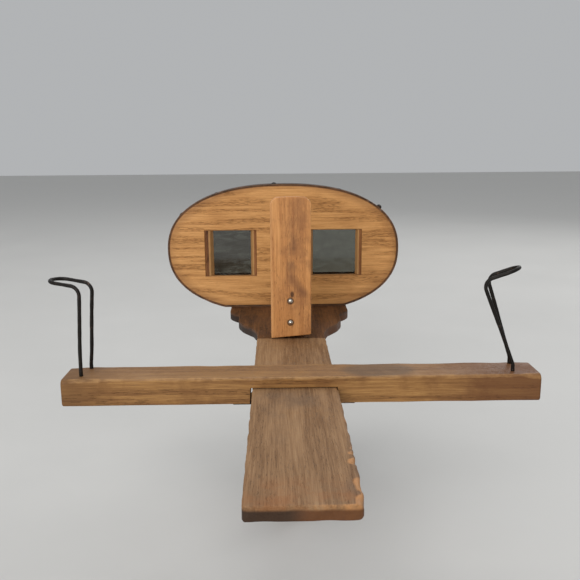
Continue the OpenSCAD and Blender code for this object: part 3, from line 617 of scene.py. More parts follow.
def make_shaft(finish):
    """A flat board: a rounded section carried along Y, with the right edge bitten near the front."""
    thick = SHAFT_HIGH.z - SHAFT_LOW.z
    corner = 1.5 * MM
    y, inset = drawn_in(SHAFT_LOW.y, SHAFT_HIGH.y, 0.8 * MM, 0.5 * MM, thick / 2)
    front = np.clip(SHAFT_LOW.y + corner - y, 0, corner)
    half = shaft_half_width(y) - (corner - np.sqrt(np.maximum(corner ** 2 - front ** 2, 0)))
    ragged = 0.12 * MM * wander(y, seed=4, step=9 * MM)
    draws = np.random.default_rng(11)
    small = draws.uniform(SHAFT_LOW.y, SHAFT_LOW.y + 100 * MM, 14)
    right_bites = chips(y, [*(SHAFT_LOW.y + np.array([1, 12, 27, 33]) * MM), *small],
                        [*(np.array([5.5, 5.0, 2.5, 1.5]) * MM), *draws.uniform(0.8, 2.2, 14) * MM],
                        [*(np.array([1.7, 1.0, 1.4, 0.8]) * MM), *draws.uniform(0.1, 0.35, 14) * MM])
    left_bites = chips(y, small[::2] + 5 * MM, draws.uniform(0.8, 2, 7) * MM,
                       draws.uniform(0.1, 0.4, 7) * MM)
    base = 0.55 * MM + 0.12 * MM * wander(y, seed=7, step=6 * MM)
    limit = np.maximum(thick / 2 - inset, 0) * 0.98
    radii = [np.minimum(np.maximum(base + bites, 0.2 * MM), limit)
             for bites in (right_bites, left_bites, 0, 0.4 * right_bites)]
    right = half - inset - ragged - 0.3 * right_bites
    bottom, top = SHAFT_LOW.z + 0.05 * MM + inset, SHAFT_HIGH.z - inset
    a, b, corner_share = rounded_section(inset + ragged - half, right, bottom, top, radii, 34, 6)
    along = np.broadcast_to(y[:, None], a.shape)
    near_end = smooth(along, SHAFT_LOW.y + 1 * MM, SHAFT_LOW.y)
    end_dip = 0.25 * MM * wander(a, b, seed=9, step=7 * MM) * near_end
    points = grid(a, along + np.maximum(end_dip, 0), b)
    right_edge = smooth(a, (half - 4 * MM)[:, None], (half - 0.5 * MM)[:, None])
    bitten = (right_bites / (1.2 * MM))[:, None] * right_edge
    front_edge = smooth(along, SHAFT_LOW.y + 1.6 * MM, SHAFT_LOW.y + 0.2 * MM) * smooth(a, -8 * MM, 6 * MM)
    worn = np.clip(corner_share * 0.32 + bitten + 0.55 * front_edge, 0, 0.72)
    return make_piece("worn_shaft", "shaft", finish, [Sheet(points, worn, wrap_cols=True)])


def lame(turn, power):
    """A Lame oval of half width 1: the cosine and the sine, each to the power of 2/power with its
    sign kept, so that |x|^power + |y|^power = 1."""
    waves = np.cos(turn), np.sin(turn)
    return [np.sign(wave) * np.abs(wave) ** (2 / power) for wave in waves]


def oval(turn, grow=0.0):
    """The board's outline: a Lame oval, grown by grow, with its foot cut flat."""
    x, z = lame(turn, OVAL_POWER)
    z = OVAL_Z + (OVAL_HALF_H + grow) * z
    return BOARD_MID + (OVAL_HALF_W + grow) * x, np.maximum(z, BOARD_LOW.z - grow)


def ray_reach(x0, z0, cos, sin, side):
    """How far each ray from a window's middle goes to the edge of its half of the board: the
    nearest of the middle line, the flat foot and the oval, the last found by halving."""
    to_middle = (BOARD_MID - x0) / np.where(side * cos < -1e-9, cos, -side * 1e-9)
    to_foot = (BOARD_LOW.z - z0) / np.where(sin < -1e-9, sin, -1e-9)
    low = np.zeros_like(cos)
    high = np.full_like(cos, 2 * OVAL_HALF_W)
    for _ in range(44):
        middle = (low + high) / 2
        x = np.abs((x0 + middle * cos - BOARD_MID) / OVAL_HALF_W)
        z = np.abs((z0 + middle * sin - OVAL_Z) / OVAL_HALF_H)
        inside = x ** OVAL_POWER + z ** OVAL_POWER < 1
        low = np.where(inside, middle, low)
        high = np.where(inside, high, middle)
    return np.minimum(np.minimum(to_middle, to_foot), low), to_middle, to_foot, low


def board_half(side):
    """Half of the lens board as a ring of rays from the window's middle. Along each ray the
    section runs from the oval's edge over the front face, through the window with its rebate, and
    over the back face to the edge again."""
    x0, z0 = BOARD_MID + side * LENS_HALF_SPACING, LENS_MID_Z
    foot_share = 1 - ((OVAL_Z - BOARD_LOW.z) / OVAL_HALF_H) ** OVAL_POWER
    foot_x = BOARD_MID + side * OVAL_HALF_W * foot_share ** (1 / OVAL_POWER)
    marks = [math.atan2(sz * WINDOW_HALF_H, sx * WINDOW_HALF_W) for sx in (-1, 1) for sz in (-1, 1)]
    for x, z in ((BOARD_MID, OVAL_Z + OVAL_HALF_H), (BOARD_MID, BOARD_LOW.z), (foot_x, BOARD_LOW.z)):
        marks.append(math.atan2(z - z0, x - x0))
    angle = np.concatenate([full_turn(259) - math.pi, marks])
    angle = np.unique(np.round(angle, 9))
    cos, sin = np.cos(angle), np.sin(angle)
    reach, to_middle, to_foot, to_oval = ray_reach(x0, z0, cos, sin, side)
    seam = to_middle < np.minimum(to_foot, to_oval) - 1e-7
    on_foot = (to_foot < to_oval - 1e-7) & ~seam
    out_x, out_z = x0 + reach * cos, z0 + reach * sin
    out_x = np.where(seam, BOARD_MID, out_x)

    def slope(off, half):
        return np.abs(off / half) ** (OVAL_POWER - 1) * np.sign(off) / half

    px, pz = slope(out_x - BOARD_MID, OVAL_HALF_W), slope(out_z - OVAL_Z, OVAL_HALF_H)
    normal = np.stack([px, pz]) / np.hypot(px, pz)
    normal = np.where(on_foot, np.array([[0.0], [-1.0]]), normal)
    corner = np.isclose(out_x, BOARD_MID, atol=1e-7)
    normal = np.where(corner & ~seam, np.stack([np.zeros_like(px), np.sign(out_z - OVAL_Z)]), normal)
    stretch = 1 / np.maximum(np.abs(cos) / WINDOW_HALF_W, np.abs(sin) / WINDOW_HALF_H)
    win_x, win_z = stretch * cos, stretch * sin

    def window(grow):
        """Where the rays cross the window's edge, grown by grow."""
        return x0 + win_x * (1 + grow / WINDOW_HALF_W), z0 + win_z * (1 + grow / WINDOW_HALF_H)

    front, shelf, back = BOARD_LOW.y, LENS_LOW.y, BOARD_HIGH.y
    edge_r, rim_r = 0.45 * MM, 0.35 * MM
    sill_x, sill_z = window(rim_r)
    rebate_x, rebate_z = window(LENS_LAP + LENS_GAP)
    bends = np.linspace(0, math.pi / 2, 5)
    rows, worn, side_rows = [], [], []

    def row(x, z, y, rubbed, outer=False):
        rows.append(grid(x, y, z))
        worn.append(np.broadcast_to(rubbed, x.shape))
        side_rows.append(outer)

    for bend in bends[:-1]:
        draw = edge_r * (1 - math.cos(bend)) * ~seam
        y = front + edge_r * (1 - math.sin(bend)) * ~seam
        row(out_x - draw * normal[0], out_z - draw * normal[1], y, 0.9 * ~seam, True)
    edge_x = out_x - edge_r * normal[0] * ~seam
    edge_z = out_z - edge_r * normal[1] * ~seam
    for t in np.linspace(0, 1, 30):
        x, z = edge_x + (sill_x - edge_x) * t, edge_z + (sill_z - edge_z) * t
        fall = 0.05 * MM * wander(x, z, seed=21, step=26 * MM) * math.sin(math.pi * t)
        row(x, z, front + np.maximum(fall, 0), 0.5 * ~seam if t == 0 else 0.5 * (t == 1))
    for bend in bends[1:]:
        row(*window(rim_r * (1 - math.sin(bend))), front + rim_r * (1 - math.cos(bend)), 0.75)
    for y in np.linspace(front + rim_r, shelf, 5)[1:]:
        row(*window(0), y, 0.1)
    for y in np.linspace(shelf, back, 5):
        row(rebate_x, rebate_z, y, 0.0)
    for t in np.linspace(0, 1, 10)[1:]:
        row(rebate_x + (out_x - rebate_x) * t, rebate_z + (out_z - rebate_z) * t, back, 0.0)
    for y in np.linspace(back, front + edge_r, 5)[1:]:
        row(out_x, out_z, y, 0.3, True)
    points = np.stack(rows[:-1])
    side_rows = np.array(side_rows[:-1])
    keep = np.ones((len(points), len(angle)), bool)
    both_seam = seam | np.roll(seam, -1)
    last = np.roll(side_rows, -1)
    keep[(side_rows | last)[:, None] & both_seam[None, :]] = False
    return Sheet(points, np.stack(worn[:-1]), wrap_rows=True, wrap_cols=True, keep=keep)


def make_lens_board(finish):
    """The lens board: two halves that share the points of their middle line."""
    return make_piece("oval_lens_board", "lens_board", finish, [board_half(-1), board_half(1)])


def make_crossbar(finish):
    """A square bar: a rounded section carried along X, whose underside steps up at the notch."""
    notch_half, notch_x, ceiling = 18.2 * MM, -0.4 * MM, SHAFT_TOP + 0.2 * MM
    saw, end_round, end_square = 0.35 * MM, 88 * MM, 98 * MM
    height, depth = BAR_HIGH.z - BAR_LOW.z, BAR_HIGH.y - BAR_LOW.y
    x, inset = drawn_in(BAR_LOW.x, BAR_HIGH.x, 0.9 * MM, 0.9 * MM, height / 2)
    saw_steps = notch_half - saw * np.array([-0.02, 0.25, 0.5, 0.75, 1.02])
    x = np.concatenate([x, notch_x - saw_steps, notch_x + saw_steps])
    inset = np.concatenate([inset, np.zeros(2 * len(saw_steps))])
    order = np.argsort(x, kind="stable")
    x, inset = x[order], inset[order]
    inside = smooth(notch_half - np.abs(x - notch_x), 0, saw)
    low = BAR_LOW.z + (ceiling - BAR_LOW.z) * inside
    bow = np.abs(0.15 * MM * wander(x, seed=31, step=60 * MM))
    nicks = np.random.default_rng(5)
    places = nicks.uniform(BAR_LOW.x, BAR_HIGH.x, 26)
    front_top = chips(x, places, nicks.uniform(1, 4, 26) * MM, nicks.uniform(0.1, 0.5, 26) * MM)
    base = 0.75 * MM + 0.18 * MM * wander(x, seed=33, step=14 * MM)
    base = base + 0.9 * MM * smooth(np.abs(x - (BAR_LOW.x + BAR_HIGH.x) / 2), end_round, end_square)
    sharp = np.where(inside > 0.02, 0.25 * MM, 0.6 * MM)
    limit = np.minimum((BAR_HIGH.z - low) / 2 - inset, depth / 2 - inset) * 0.95
    limit = np.maximum(limit, 0.02 * MM)
    radii = [np.clip(r, 0.05 * MM, limit) for r in (base, base + front_top, sharp, sharp)]
    near, far = BAR_LOW.y + inset + bow, BAR_HIGH.y - inset - bow
    top = BAR_HIGH.z - inset - 0.5 * bow
    a, b, corner_share = rounded_section(near, far, low + inset, top, radii, 16, 12)
    points = grid(x[:, None], a, b)
    front_share = smooth(a, BAR_LOW.y + 4 * MM, BAR_LOW.y + 0.5 * MM)
    front_share = front_share * smooth(b, BAR_HIGH.z - 3 * MM, BAR_HIGH.z - 0.6 * MM)
    rub = 0.5 + 0.35 * wander(points[..., 0], seed=35, step=22 * MM)
    worn = corner_share * (0.25 + front_share * (0.55 * rub + (front_top / (0.6 * MM))[:, None]))
    sheet = Sheet(points, np.minimum(worn, 0.56), wrap_cols=True)
    return make_piece("card_crossbar", "crossbar", finish, [sheet], "card_holder")


def upright_board(low, high, corner_r, edge_r, slant, seed):
    """A thin board on end: a rounded section carried up Z, with round upper corners, and a foot
    that rises by slant from left to right. Returns its sheet's points and corner shares."""
    half_w, half_t = (high.x - low.x) / 2, (high.y - low.y) / 2
    z, inset = drawn_in(low.z, high.z, 0.8 * MM, edge_r, half_t)
    rise = np.clip(z - (high.z - corner_r), 0, corner_r)
    bite = corner_r - np.sqrt(np.maximum(corner_r ** 2 - rise ** 2, 0))
    bite = np.minimum(bite, corner_r * 0.62)
    wave = np.abs(0.1 * MM * wander(z, seed=seed, step=18 * MM))
    radii = edge_r * (1.1 + 0.35 * wander(z, seed=seed + 1, step=7 * MM))
    radii = np.clip(radii, 0.1 * MM, np.maximum((half_t - inset) * 0.97, 0.02 * MM))
    left, right = low.x + bite + inset + wave, high.x - bite - inset - wave[::-1]
    radii = [radii] * 4
    a, b, corner_share = rounded_section(left, right, low.y + inset, high.y - inset, radii, 22, 4)
    up = z[:, None]
    lean = slant * (a - low.x) / (2 * half_w) * smooth(up, low.z + 12 * MM, low.z)
    crown = 0.5 * MM * ((a - low.x) / half_w - 1) ** 2 * smooth(up, high.z - 4 * MM, high.z)
    return grid(a, b, up + lean - crown), corner_share


def make_septum(finish):
    """The septum: a thin upright board with round upper corners."""
    points, corner_share = upright_board(SEPTUM_LOW, SEPTUM_HIGH, 4 * MM, 0.45 * MM, 1.8 * MM, 41)
    left = smooth(points[..., 0], SEPTUM_LOW.x + 3 * MM, SEPTUM_LOW.x + 0.5 * MM)
    worn = corner_share * 0.3 + 0.45 * left * smooth(points[..., 1], SEPTUM_LOW.y + 1 * MM, SEPTUM_LOW.y)
    return make_piece("septum", "septum_board", finish, [Sheet(points, worn, wrap_cols=True)])


def make_block(finish):
    """The block that holds the septum up: a short softened post."""
    points, corner_share = upright_board(*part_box("septum_block"), 1.5 * MM, 0.6 * MM, 0.0, 45)
    sheet = Sheet(points, corner_share * 0.5, wrap_cols=True)
    return make_piece("foot_block", "septum_block", finish, [sheet])


def make_strip(node, finish, inner, seed):
    """A strip in a window's side: a rounded section carried up Z, whose face towards the glass,
    on the side that inner points to, slopes back."""
    low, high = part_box(node)
    width = high.x - low.x
    z, inset = drawn_in(low.z + 0.05 * MM, high.z - 0.05 * MM, 0.7 * MM, 0.15 * MM, width / 2 * 0.98)
    ragged = np.abs(0.08 * MM * wander(z, seed=seed, step=8 * MM))
    radii = np.maximum(0.25 * MM + 0.08 * MM * wander(z, seed=seed + 1, step=4 * MM), 0.1 * MM)
    limit = np.maximum(min(width, high.y - low.y) / 2 - inset, 0) * 0.95
    end_inset = np.minimum(inset, 1.2 * MM)
    left, right = low.x + inset + ragged, high.x - inset - ragged
    near, far = low.y + end_inset + ragged, high.y - end_inset
    radii = [np.minimum(radii, limit)] * 4
    a, b, corner_share = rounded_section(left, right, near, far, radii, 6, 6)
    share = (a - low.x) / width if inner > 0 else (high.x - a) / width
    depth = (high.y - b) / (high.y - low.y)
    points = grid(a - inner * 0.38 * width * share * depth, b, z[:, None])
    worn = corner_share * 0.3 + 0.75 * smooth(share, 0.5, 0.75)
    return make_piece(node + "_wood", node, finish, [Sheet(points, worn, wrap_cols=True)])


def rectangle_walk(half_w, half_h, count):
    """Points evenly spread round a rectangle, count to a side, from its lower left corner."""
    t = np.linspace(-1, 1, count + 1)[:-1]
    one = np.ones_like(t)
    x = np.concatenate([t, one, -t, -one])
    z = np.concatenate([-one, t, one, -t])
    return x * half_w, z * half_h


def make_keeper(node, side, finish):
    """A frame that keeps a lens in: a rounded section carried round a mitred rectangle."""
    low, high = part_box(node)
    mid_x, mid_z = (low.x + high.x) / 2, (low.z + high.z) / 2
    out_w, out_h = (high.x - low.x) / 2, (high.z - low.z) / 2
    in_w, in_h = WINDOW_HALF_W - 0.5 * MM, WINDOW_HALF_H - 0.5 * MM
    unit_x, unit_z = rectangle_walk(1, 1, 26)
    r = 0.5 * MM
    rows, worn = [], []
    for quarter, (outer, rear) in enumerate(((0, 1), (1, 1), (1, 0), (0, 0))):
        for bend in np.linspace(0, math.pi / 2, 4):
            angle = math.pi - quarter * math.pi / 2 - bend
            draw = r * (math.cos(angle) + 1 - 2 * outer)
            y = (high.y if rear else low.y) + r * (math.sin(angle) + 1 - 2 * rear)
            width = (out_w if outer else in_w) + draw
            height = (out_h if outer else in_h) + draw
            rows.append(grid(mid_x + unit_x * width, y, mid_z + unit_z * height))
            worn.append(np.full_like(unit_x, 0.4 * rear))
    points = np.stack(rows)
    dents = wander(points[..., 0], points[..., 2], seed=50 + side, step=11 * MM)
    points[..., 1] += 0.08 * MM * np.minimum(dents, 0)
    sheet = Sheet(points, np.stack(worn), wrap_rows=True, wrap_cols=True)
    return make_piece(node + "_frame", node, finish, [sheet])


FOOT_ROUND = 1.5 * MM
# Height and radius of each station, and height and depth of each groove, in millimetres
GRIP_STATIONS = [(1.5, 10.0), (11, 11.0), (36, 7.4), (53, 9.4), (62.5, 8.2)]
GRIP_GROOVES = [(15.5, 0.35), (17.2, 0.35), (49.0, 0.3), (57.4, 0.3), (58.8, 0.3)]
GROOVE_HALF_W = 0.55


def make_grip(finish):
    """The turned handle: a radius eased by half cosine waves between its stations, with small
    V grooves, spun round Z. The foot and the top are closed at the axis."""
    z = np.linspace(FOOT_ROUND, FERRULE_LOW.z, 300)
    radius = np.zeros_like(z)
    for (z0, r0), (z1, r1) in zip(GRIP_STATIONS, GRIP_STATIONS[1:]):
        t = np.clip((z / MM - z0) / (z1 - z0), 0, 1)
        eased = r0 + (r1 - r0) * (1 - np.cos(math.pi * t)) / 2
        radius = np.where(z / MM >= z0 - 1e-6, MM * eased, radius)
    for middle, depth in GRIP_GROOVES:
        radius = radius - MM * depth * np.clip(1 - np.abs(z / MM - middle) / GROOVE_HALF_W, 0, 1)
    bends = np.linspace(0, math.pi / 2, 7)
    foot_z = FOOT_ROUND * (1 - np.sin(bends))[::-1]
    foot_r = (radius[0] - FOOT_ROUND * (1 - np.cos(bends)))[::-1]
    neck = FERRULE_HIGH.x - 0.8 * MM
    z = np.concatenate([np.zeros(8), foot_z[:-1], z, [FERRULE_LOW.z, GRIP_TOP, GRIP_TOP]])
    radius = np.concatenate([np.linspace(0, foot_r[0], 9)[:-1], foot_r[:-1], radius, [neck, neck, 0]])
    turn = full_turn(96)
    cos, sin = np.cos(turn)[None, :], np.sin(turn)[None, :]
    uneven = 1 + 0.006 * wander(cos * 20 * MM, sin * 20 * MM, z[:, None], seed=61, step=30 * MM)
    r = radius[:, None] * np.minimum(uneven, 1)
    points = grid(r * cos, r * sin, z[:, None])
    worn = 0.35 * smooth(np.abs(z - 11 * MM), 6 * MM, 0) + 0.5 * smooth(z, 1.5 * MM, 0)
    sheet = Sheet(points, worn[:, None], wrap_cols=True)
    return make_piece("turned_handle", "handle_grip", finish, [sheet], "handle", sharp=32)


# ---- hood and binding

BROW_DEPTH = 32 * MM
FACE_R = 95 * MM
NOSE_DEPTH = 20 * MM
NOSE_R = 19 * MM
HOOD_DRAW = 0.0018 / MM
BINDING_HALF_W = 1.75 * MM
BINDING_HALF_D = 3.0 * MM
BINDING_BACK = 1.9 * MM
BINDING_POWER = 2.6
BINDING_PUCKER = 6.3 * MM


def drawn_back(x, y, z):
    """Where a point of the straight hood goes when it is drawn in behind the board: its distance
    from the foot's middle shrinks by the same share for each millimetre back."""
    size = 1 - HOOD_DRAW * np.maximum(y - BOARD_HIGH.y, 0)
    return BOARD_MID + (x - BOARD_MID) * size, SHAFT_TOP + (z - SHAFT_TOP) * size


def eye_edge(x, z):
    """How far back the hood reaches: a circle for the face seen from above and, in the lower half,
    a smaller one for the nose, blended by a soft least value."""
    dx = x - BOARD_MID
    face = BOARD_LOW.y + BROW_DEPTH + FACE_R - np.sqrt(np.maximum(FACE_R ** 2 - dx ** 2, 0))
    inside = np.maximum(NOSE_R ** 2 - dx ** 2, 0)
    nose = BOARD_LOW.y + NOSE_DEPTH + NOSE_R - np.sqrt(inside)
    nose = np.where((z < OVAL_Z) & (np.abs(dx) < NOSE_R), nose, 1.0)
    soft = 1.2 * MM
    return -soft * np.logaddexp(-face / soft, -nose / soft)


def hood_end(x, z):
    """The eye edge's place on the drawn-in hood, found by repeating: each place gives the width
    there, and each width the place."""
    y = eye_edge(x, z)
    for _ in range(8):
        y = eye_edge(drawn_back(x, y, z)[0], z)
    return y


def make_hood(finish):
    """The bent veneer: the oval carried back to the eye edge, an outer and an inner face a
    thickness apart, with a slightly broken front rim."""
    turn = full_turn(480)
    out_x, out_z = oval(turn, HOOD_T)
    in_x, in_z = oval(turn)
    mid_x, mid_z = (out_x + in_x) / 2, (out_z + in_z) / 2
    end = hood_end(mid_x, mid_z)
    broken = 0.12 * MM * (1 + wander(mid_x, mid_z, seed=71, step=5 * MM))
    nicks = chips(turn, [0.42, 0.5, 0.62, 0.8, 2.9, 4.0], [0.03, 0.02, 0.04, 0.02, 0.03, 0.04],
                  np.array([0.6, 0.4, 0.5, 0.4, 0.3, 0.4]) * MM)
    start = BOARD_LOW.y + np.maximum(broken, 0) + nicks
    rows, worn = [], []
    t_steps = np.linspace(0, 1, 34)

    def row(x, y, z, rubbed):
        there_x, there_z = drawn_back(x, y, z)
        rows.append(grid(there_x, y, there_z))
        worn.append(rubbed * np.ones_like(turn))

    for t in t_steps:
        row(out_x, start + (end - start) * t, out_z, 0.75 if t < 0.02 else 0.12)
    row(mid_x, end + 0.25 * MM, mid_z, 0.0)
    for t in t_steps[::-1]:
        row(in_x, start + (end - start) * t, in_z, 0.6 if t < 0.02 else 0.0)
    rows.append(grid(mid_x, start - 0.12 * MM, mid_z))
    worn.append(0.55 + nicks / MM)
    points = np.stack(rows)
    points[-1, :, 1] = np.maximum(points[-1, :, 1], BOARD_LOW.y)
    sheet = Sheet(points, np.stack(worn), wrap_rows=True, wrap_cols=True)
    return make_piece("bent_hood", "hood", finish, [sheet])


def make_binding(finish):
    """The padded velvet edge: a flattened round section carried along the eye edge, with soft
    puckers where it is drawn round the veneer."""
    out_x, out_z = oval(full_turn(900), HOOD_T / 2)
    end = hood_end(out_x, out_z)
    there_x, there_z = drawn_back(out_x, end, out_z)
    line = grid(there_x, end, there_z)
    for _ in range(12):
        line = (np.roll(line, 1, 0) + 2 * line + np.roll(line, -1, 0)) / 4
    tangent = unit(np.roll(line, -1, 0) - np.roll(line, 1, 0))
    normal = unit(grid(tangent[:, 2], 0.0, -tangent[:, 0]))
    outward = np.cross(tangent, normal)
    outward *= np.sign(outward[:, 1])[:, None]
    along = np.cumsum(np.linalg.norm(np.roll(line, -1, 0) - line, axis=1))[:, None]
    around = full_turn(28)
    wide, deep = lame(around, BINDING_POWER)
    puckers = 1 + 0.05 * wander(along, around[None, :] * 2 * MM, seed=81, step=5 * MM)
    folds = np.abs(np.sin(math.pi * along / BINDING_PUCKER)) ** 6
    puckers = np.minimum(puckers - 0.05 * folds * smooth(-deep, -0.2, 0.6), 1.06)
    across = BINDING_HALF_W * wide * puckers
    behind = BINDING_HALF_D * deep * puckers - BINDING_BACK
    points = line[:, None, :] + normal[:, None, :] * across[..., None]
    points = points + outward[:, None, :] * behind[..., None]
    sheet = Sheet(points, wrap_rows=True, wrap_cols=True)
    made = make_piece("velvet_binding", "hood_binding", finish, [sheet], sharp=180)
    return made


# ---- wires and lenses

# The wires' sizes, and in degrees how far each is twisted at the crossbar
WIRE_R = 0.8 * MM
WIRE_GAP = 10 * MM
WIRE_H = 37 * MM
WIRE_SEAT = 8 * MM
WIRE_FOOT = 10 * MM
WIRE_BEND_R = 4 * MM
WIRE_SPREAD = 178.8 * MM
WIRE_SHIFT = -0.75 * MM
WIRE_BACK = 1.5 * MM
WIRE_SWAY = 0.18 * MM
WIRE_TURN_FOOT = 10


def wire_path(lean, rise, hook):
    """A hairpin's centre line, the direction across it and the top of its legs: up one leg, over a
    knee, round the bend to the outside, round the end and down the other leg. Angles are in radians."""
    up = (WIRE_H + WIRE_SEAT - WIRE_FOOT - WIRE_BEND_R) / math.cos(lean)
    knee_turn = lean * np.linspace(0, 1, 5)
    knee = np.stack([WIRE_BEND_R * (np.cos(knee_turn) - 1), WIRE_FOOT + WIRE_BEND_R * np.sin(knee_turn)], -1)
    climb = np.linspace(0, up, 24)[1:, None]
    leg = knee[-1] + climb * np.array([-math.sin(lean), math.cos(lean)])
    turn = (lean + math.pi / 2 - rise) * np.linspace(0, 1, 14)[1:] - lean
    bend = np.stack([math.cos(lean) - np.cos(turn), math.sin(lean) + np.sin(turn)], -1)
    bend = leg[-1] + WIRE_BEND_R * bend
    out = np.linspace(0, hook - WIRE_BEND_R - WIRE_GAP / 2, 8)[1:, None]
    tip = bend[-1] + out * np.array([math.cos(rise), math.sin(rise)])
    root = np.stack([np.zeros(8), np.linspace(0, WIRE_FOOT, 9)[:-1]], -1)
    one = np.concatenate([root, knee, leg, bend, tip])
    outward = rise - math.pi / 2
    across = np.concatenate([np.zeros(8), knee_turn, np.full(len(leg), lean), -turn,
                             np.full(len(tip), outward)])
    half_turn = np.linspace(0, math.pi, 22)[1:-1]
    swing = WIRE_GAP / 2 * np.sin(half_turn)
    end = grid(one[-1, 0] + swing * math.cos(rise), -WIRE_GAP / 2 * np.cos(half_turn),
               one[-1, 1] + swing * math.sin(rise))
    front = grid(one[:, 0], -WIRE_GAP / 2, one[:, 1])
    back = front[::-1] * np.array([1, -1, 1])
    angles = np.concatenate([across, np.full(len(end), outward), across[::-1]])
    return np.concatenate([front, end, back]), angles, leg[-1]


def twisted(points, top, first, last):
    """Turns points about the line between the legs, by first at the crossbar and growing evenly to
    last at the top of the legs."""
    share = np.clip((points[..., 2] - WIRE_FOOT) / (top[1] - WIRE_FOOT), 0, 1)
    angle = -(first + (last - first) * share)
    middle = top[0] * share
    x, y = points[..., 0] - middle, points[..., 1]
    turned_x = x * np.cos(angle) - y * np.sin(angle)
    turned_y = x * np.sin(angle) + y * np.cos(angle)
    return grid(middle + turned_x, turned_y, points[..., 2])


def make_wire(node, side, lean, rise, hook, turn, seed, finish):
    """A card wire: a small circle carried along the hairpin, bent a little out of true by hand, then
    twisted. Side is -1 for the left one, which is mirrored. Lean, rise and turn are in degrees."""
    line, angles, top = wire_path(math.radians(lean), math.radians(rise), hook)
    along = np.concatenate([[0], np.cumsum(np.linalg.norm(np.diff(line, axis=0), axis=1))])
    free = smooth(line[:, 2], WIRE_SEAT + 1 * MM, WIRE_SEAT + 12 * MM)[:, None]
    sway = np.stack([wander(along, seed=seed + k, step=55 * MM) for k in range(3)], -1)
    line = line + WIRE_SWAY * sway * free * np.array([1, 1, 0.4])
    across = grid(np.cos(angles), 0.0, np.sin(angles))
    flank = unit(np.cross(np.gradient(line, axis=0), across))
    around = full_turn(14)[None, :, None]
    radius = WIRE_R * (1 - 0.03 * (1 + wander(along, seed=seed + 5, step=6 * MM)))
    radius = np.concatenate([[0], radius, [0]])
    pick = np.concatenate([[0], np.arange(len(line)), [len(line) - 1]])
    ring = np.cos(around) * across[pick][:, None, :] + np.sin(around) * flank[pick][:, None, :]
    points = line[pick][:, None, :] + radius[:, None, None] * ring
    points = twisted(points, top, side * math.radians(WIRE_TURN_FOOT), side * math.radians(turn))
    points[..., 0] *= side
    foot = np.array([(BAR_LOW.x + BAR_HIGH.x) / 2 + WIRE_SHIFT + side * WIRE_SPREAD / 2,
                     (BAR_LOW.y + BAR_HIGH.y) / 2 + WIRE_BACK, BAR_HIGH.z - WIRE_SEAT])
    sheet = Sheet(points + foot, wrap_cols=True)
    return make_piece(node + "_bent", node, finish, [sheet], "card_holder", sharp=180)


def make_lens(node, side, finish):
    """A prism lens: flat to the front, part of a sphere to the eyes, thickest on its outer side,
    with ground edges."""
    low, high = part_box(node)
    radius, wedge, thick, bevel = 120 * MM, 8 * MM, 4.4 * MM, 0.35 * MM
    mid_x, mid_z = (low.x + high.x) / 2, (low.z + high.z) / 2
    ball = (mid_x + side * wedge, low.y + thick - radius, mid_z)
    half_w, half_h = (high.x - low.x) / 2, (high.z - low.z) / 2
    t = np.linspace(-1, 1, 41)

    def curve(x, z):
        return ball[1] + np.sqrt(radius ** 2 - (x - ball[0]) ** 2 - (z - ball[2]) ** 2)

    u, v = np.meshgrid(t, t, indexing="ij")
    x, z = mid_x + u * (half_w - bevel), mid_z + v * (half_h - bevel)
    walk_x, walk_z = rectangle_walk(1, 1, 40)
    edge = curve(mid_x + walk_x * (half_w - bevel), mid_z + walk_z * (half_h - bevel))
    rings = [grid(mid_x + walk_x * (half_w - draw), y, mid_z + walk_z * (half_h - draw))
             for draw, y in ((bevel, low.y), (0, low.y + bevel), (0, edge - bevel), (bevel, edge))]
    front, back = Sheet(grid(x, low.y, z)), Sheet(grid(x, curve(x, z), z))
    sheets = [front, back, Sheet(np.stack(rings), wrap_cols=True)]
    return make_piece(node + "_glass", node, finish, sheets, sharp=25)


# ---- stage

def set_camera():
    """The viewpoint: in front, a little above and to the left, looking slightly down."""
    eye = bpy.data.cameras.new("camera")
    eye.sensor_width = 36
    eye.lens = 43.45
    eye.clip_start = 0.01
    yaw, pitch, roll = math.radians(-1.03), math.radians(90 - 12.11), math.radians(-0.40)
    turn = Matrix.Rotation(yaw, 4, "Z") @ Matrix.Rotation(pitch, 4, "X") @ Matrix.Rotation(roll, 4, "Z")
    holder = place("camera", eye)
    holder.matrix_world = Matrix.Translation((-6.68 * MM, -359.2 * MM, 203.3 * MM)) @ turn
    bpy.context.scene.camera = holder


def add_lamp(name, stand, size, power):
    """A round white lamp that stands at a point and is aimed at the viewer's middle."""
    lamp = bpy.data.lights.new(name, "AREA")
    lamp.shape = "DISK"
    lamp.size = size
    lamp.energy = power
    aim = Vector(stand) - Vector((0, 0, 0.1))
    turn = aim.to_track_quat("Z", "Y").to_matrix().to_4x4()
    place(name, lamp).matrix_world = Matrix.Translation(stand) @ turn


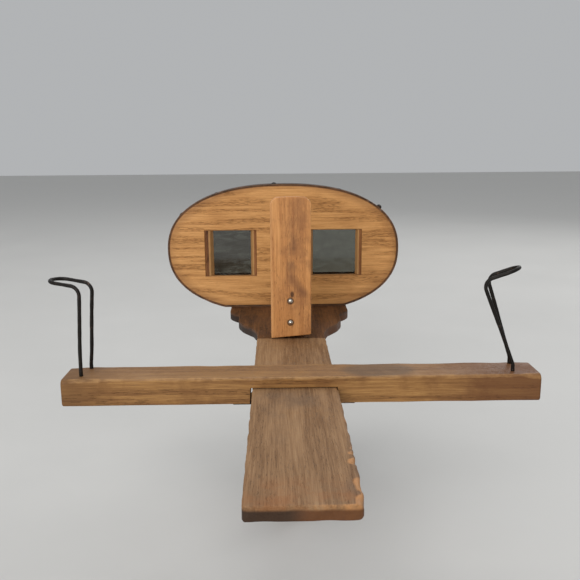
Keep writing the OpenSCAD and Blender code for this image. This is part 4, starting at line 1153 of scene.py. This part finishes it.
def set_stage():
    """A pale floor, an even pale surround and three soft lamps."""
    surround = bpy.data.worlds.new("surround")
    surround.use_nodes = True
    sky = surround.node_tree.nodes["Background"]
    sky.inputs[0].default_value = colour(206, 208, 210)
    sky.inputs[1].default_value = 0.72
    bpy.context.scene.world = surround
    add_lamp("ceiling_lamp", (-0.2, 0.25, 1.5), 1.3, 8.5)
    add_lamp("front_lamp", (-0.5, -1.25, 0.6), 0.9, 10)
    add_lamp("back_lamp", (0.7, 0.9, 0.8), 0.7, 3)
    ground = Finish("floor_plaster", Specular_IOR_Level=0.3)
    cloud = ground.noise(120 * MM, 4)
    shade = ground.mix(cloud, (196, 195, 192), (207, 206, 203))
    ground.finish(shade, ground.level(cloud, 0.3, 0.7, 0.5, 0.62))
    span = 4.0
    corners = [(-span, -span, 0), (span, -span, 0), (span, span, 0), (-span, span, 0)]
    mesh = bpy.data.meshes.new("floor")
    mesh.from_pydata(corners, [], [(0, 1, 2, 3)])
    mesh.materials.append(ground.material)
    place("floor", mesh)
    bpy.context.scene.view_settings.view_transform = "Standard"


def dress(finish, *nodes):
    """Gives CAD nodes their finish."""
    for node in nodes:
        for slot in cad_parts[node].material_slots:
            slot.material = finish


# ---- the viewer

set_camera()
set_stage()

strip_wood = strip_finish()
shaft_wood = shaft_finish()
iron = iron_finish()
glass = glass_finish()
steel = steel_finish()
brass = brass_finish()

make_shaft(shaft_wood)
make_lens_board(lens_board_finish())
make_septum(septum_finish())
make_block(strip_wood)
make_crossbar(crossbar_finish())
for side, name in SIDES:
    make_strip("strip_" + name + "_outer", strip_wood, -side, 103 + 2 * side)
    make_strip("strip_" + name + "_inner", strip_wood, side, 105 + 2 * side)
for side, name in SIDES:
    make_keeper("lens_keeper_" + name, side, strip_wood)
make_grip(handle_finish())
make_hood(veneer_finish())
make_binding(velvet_finish())
make_wire("wire_holder_left", -1, 3.5, 6, 16 * MM, 18, 111, iron)
make_wire("wire_holder_right", 1, 20, 22, 14.5 * MM, 24, 121, iron)
for side, name in SIDES:
    make_lens("lens_" + name, side, glass)

dress(iron, "keeper_strap", "hood_tacks")
dress(steel, "septum_nails", "hinge_pin", "strap_nails", "friction_leaf", "ferrule_pin")
dress(brass, "keeper_brads", "shaft_screws", "handle_bracket", "bracket_screws", "handle_ferrule",
      "handle_tang")

bpy.context.view_layer.update()
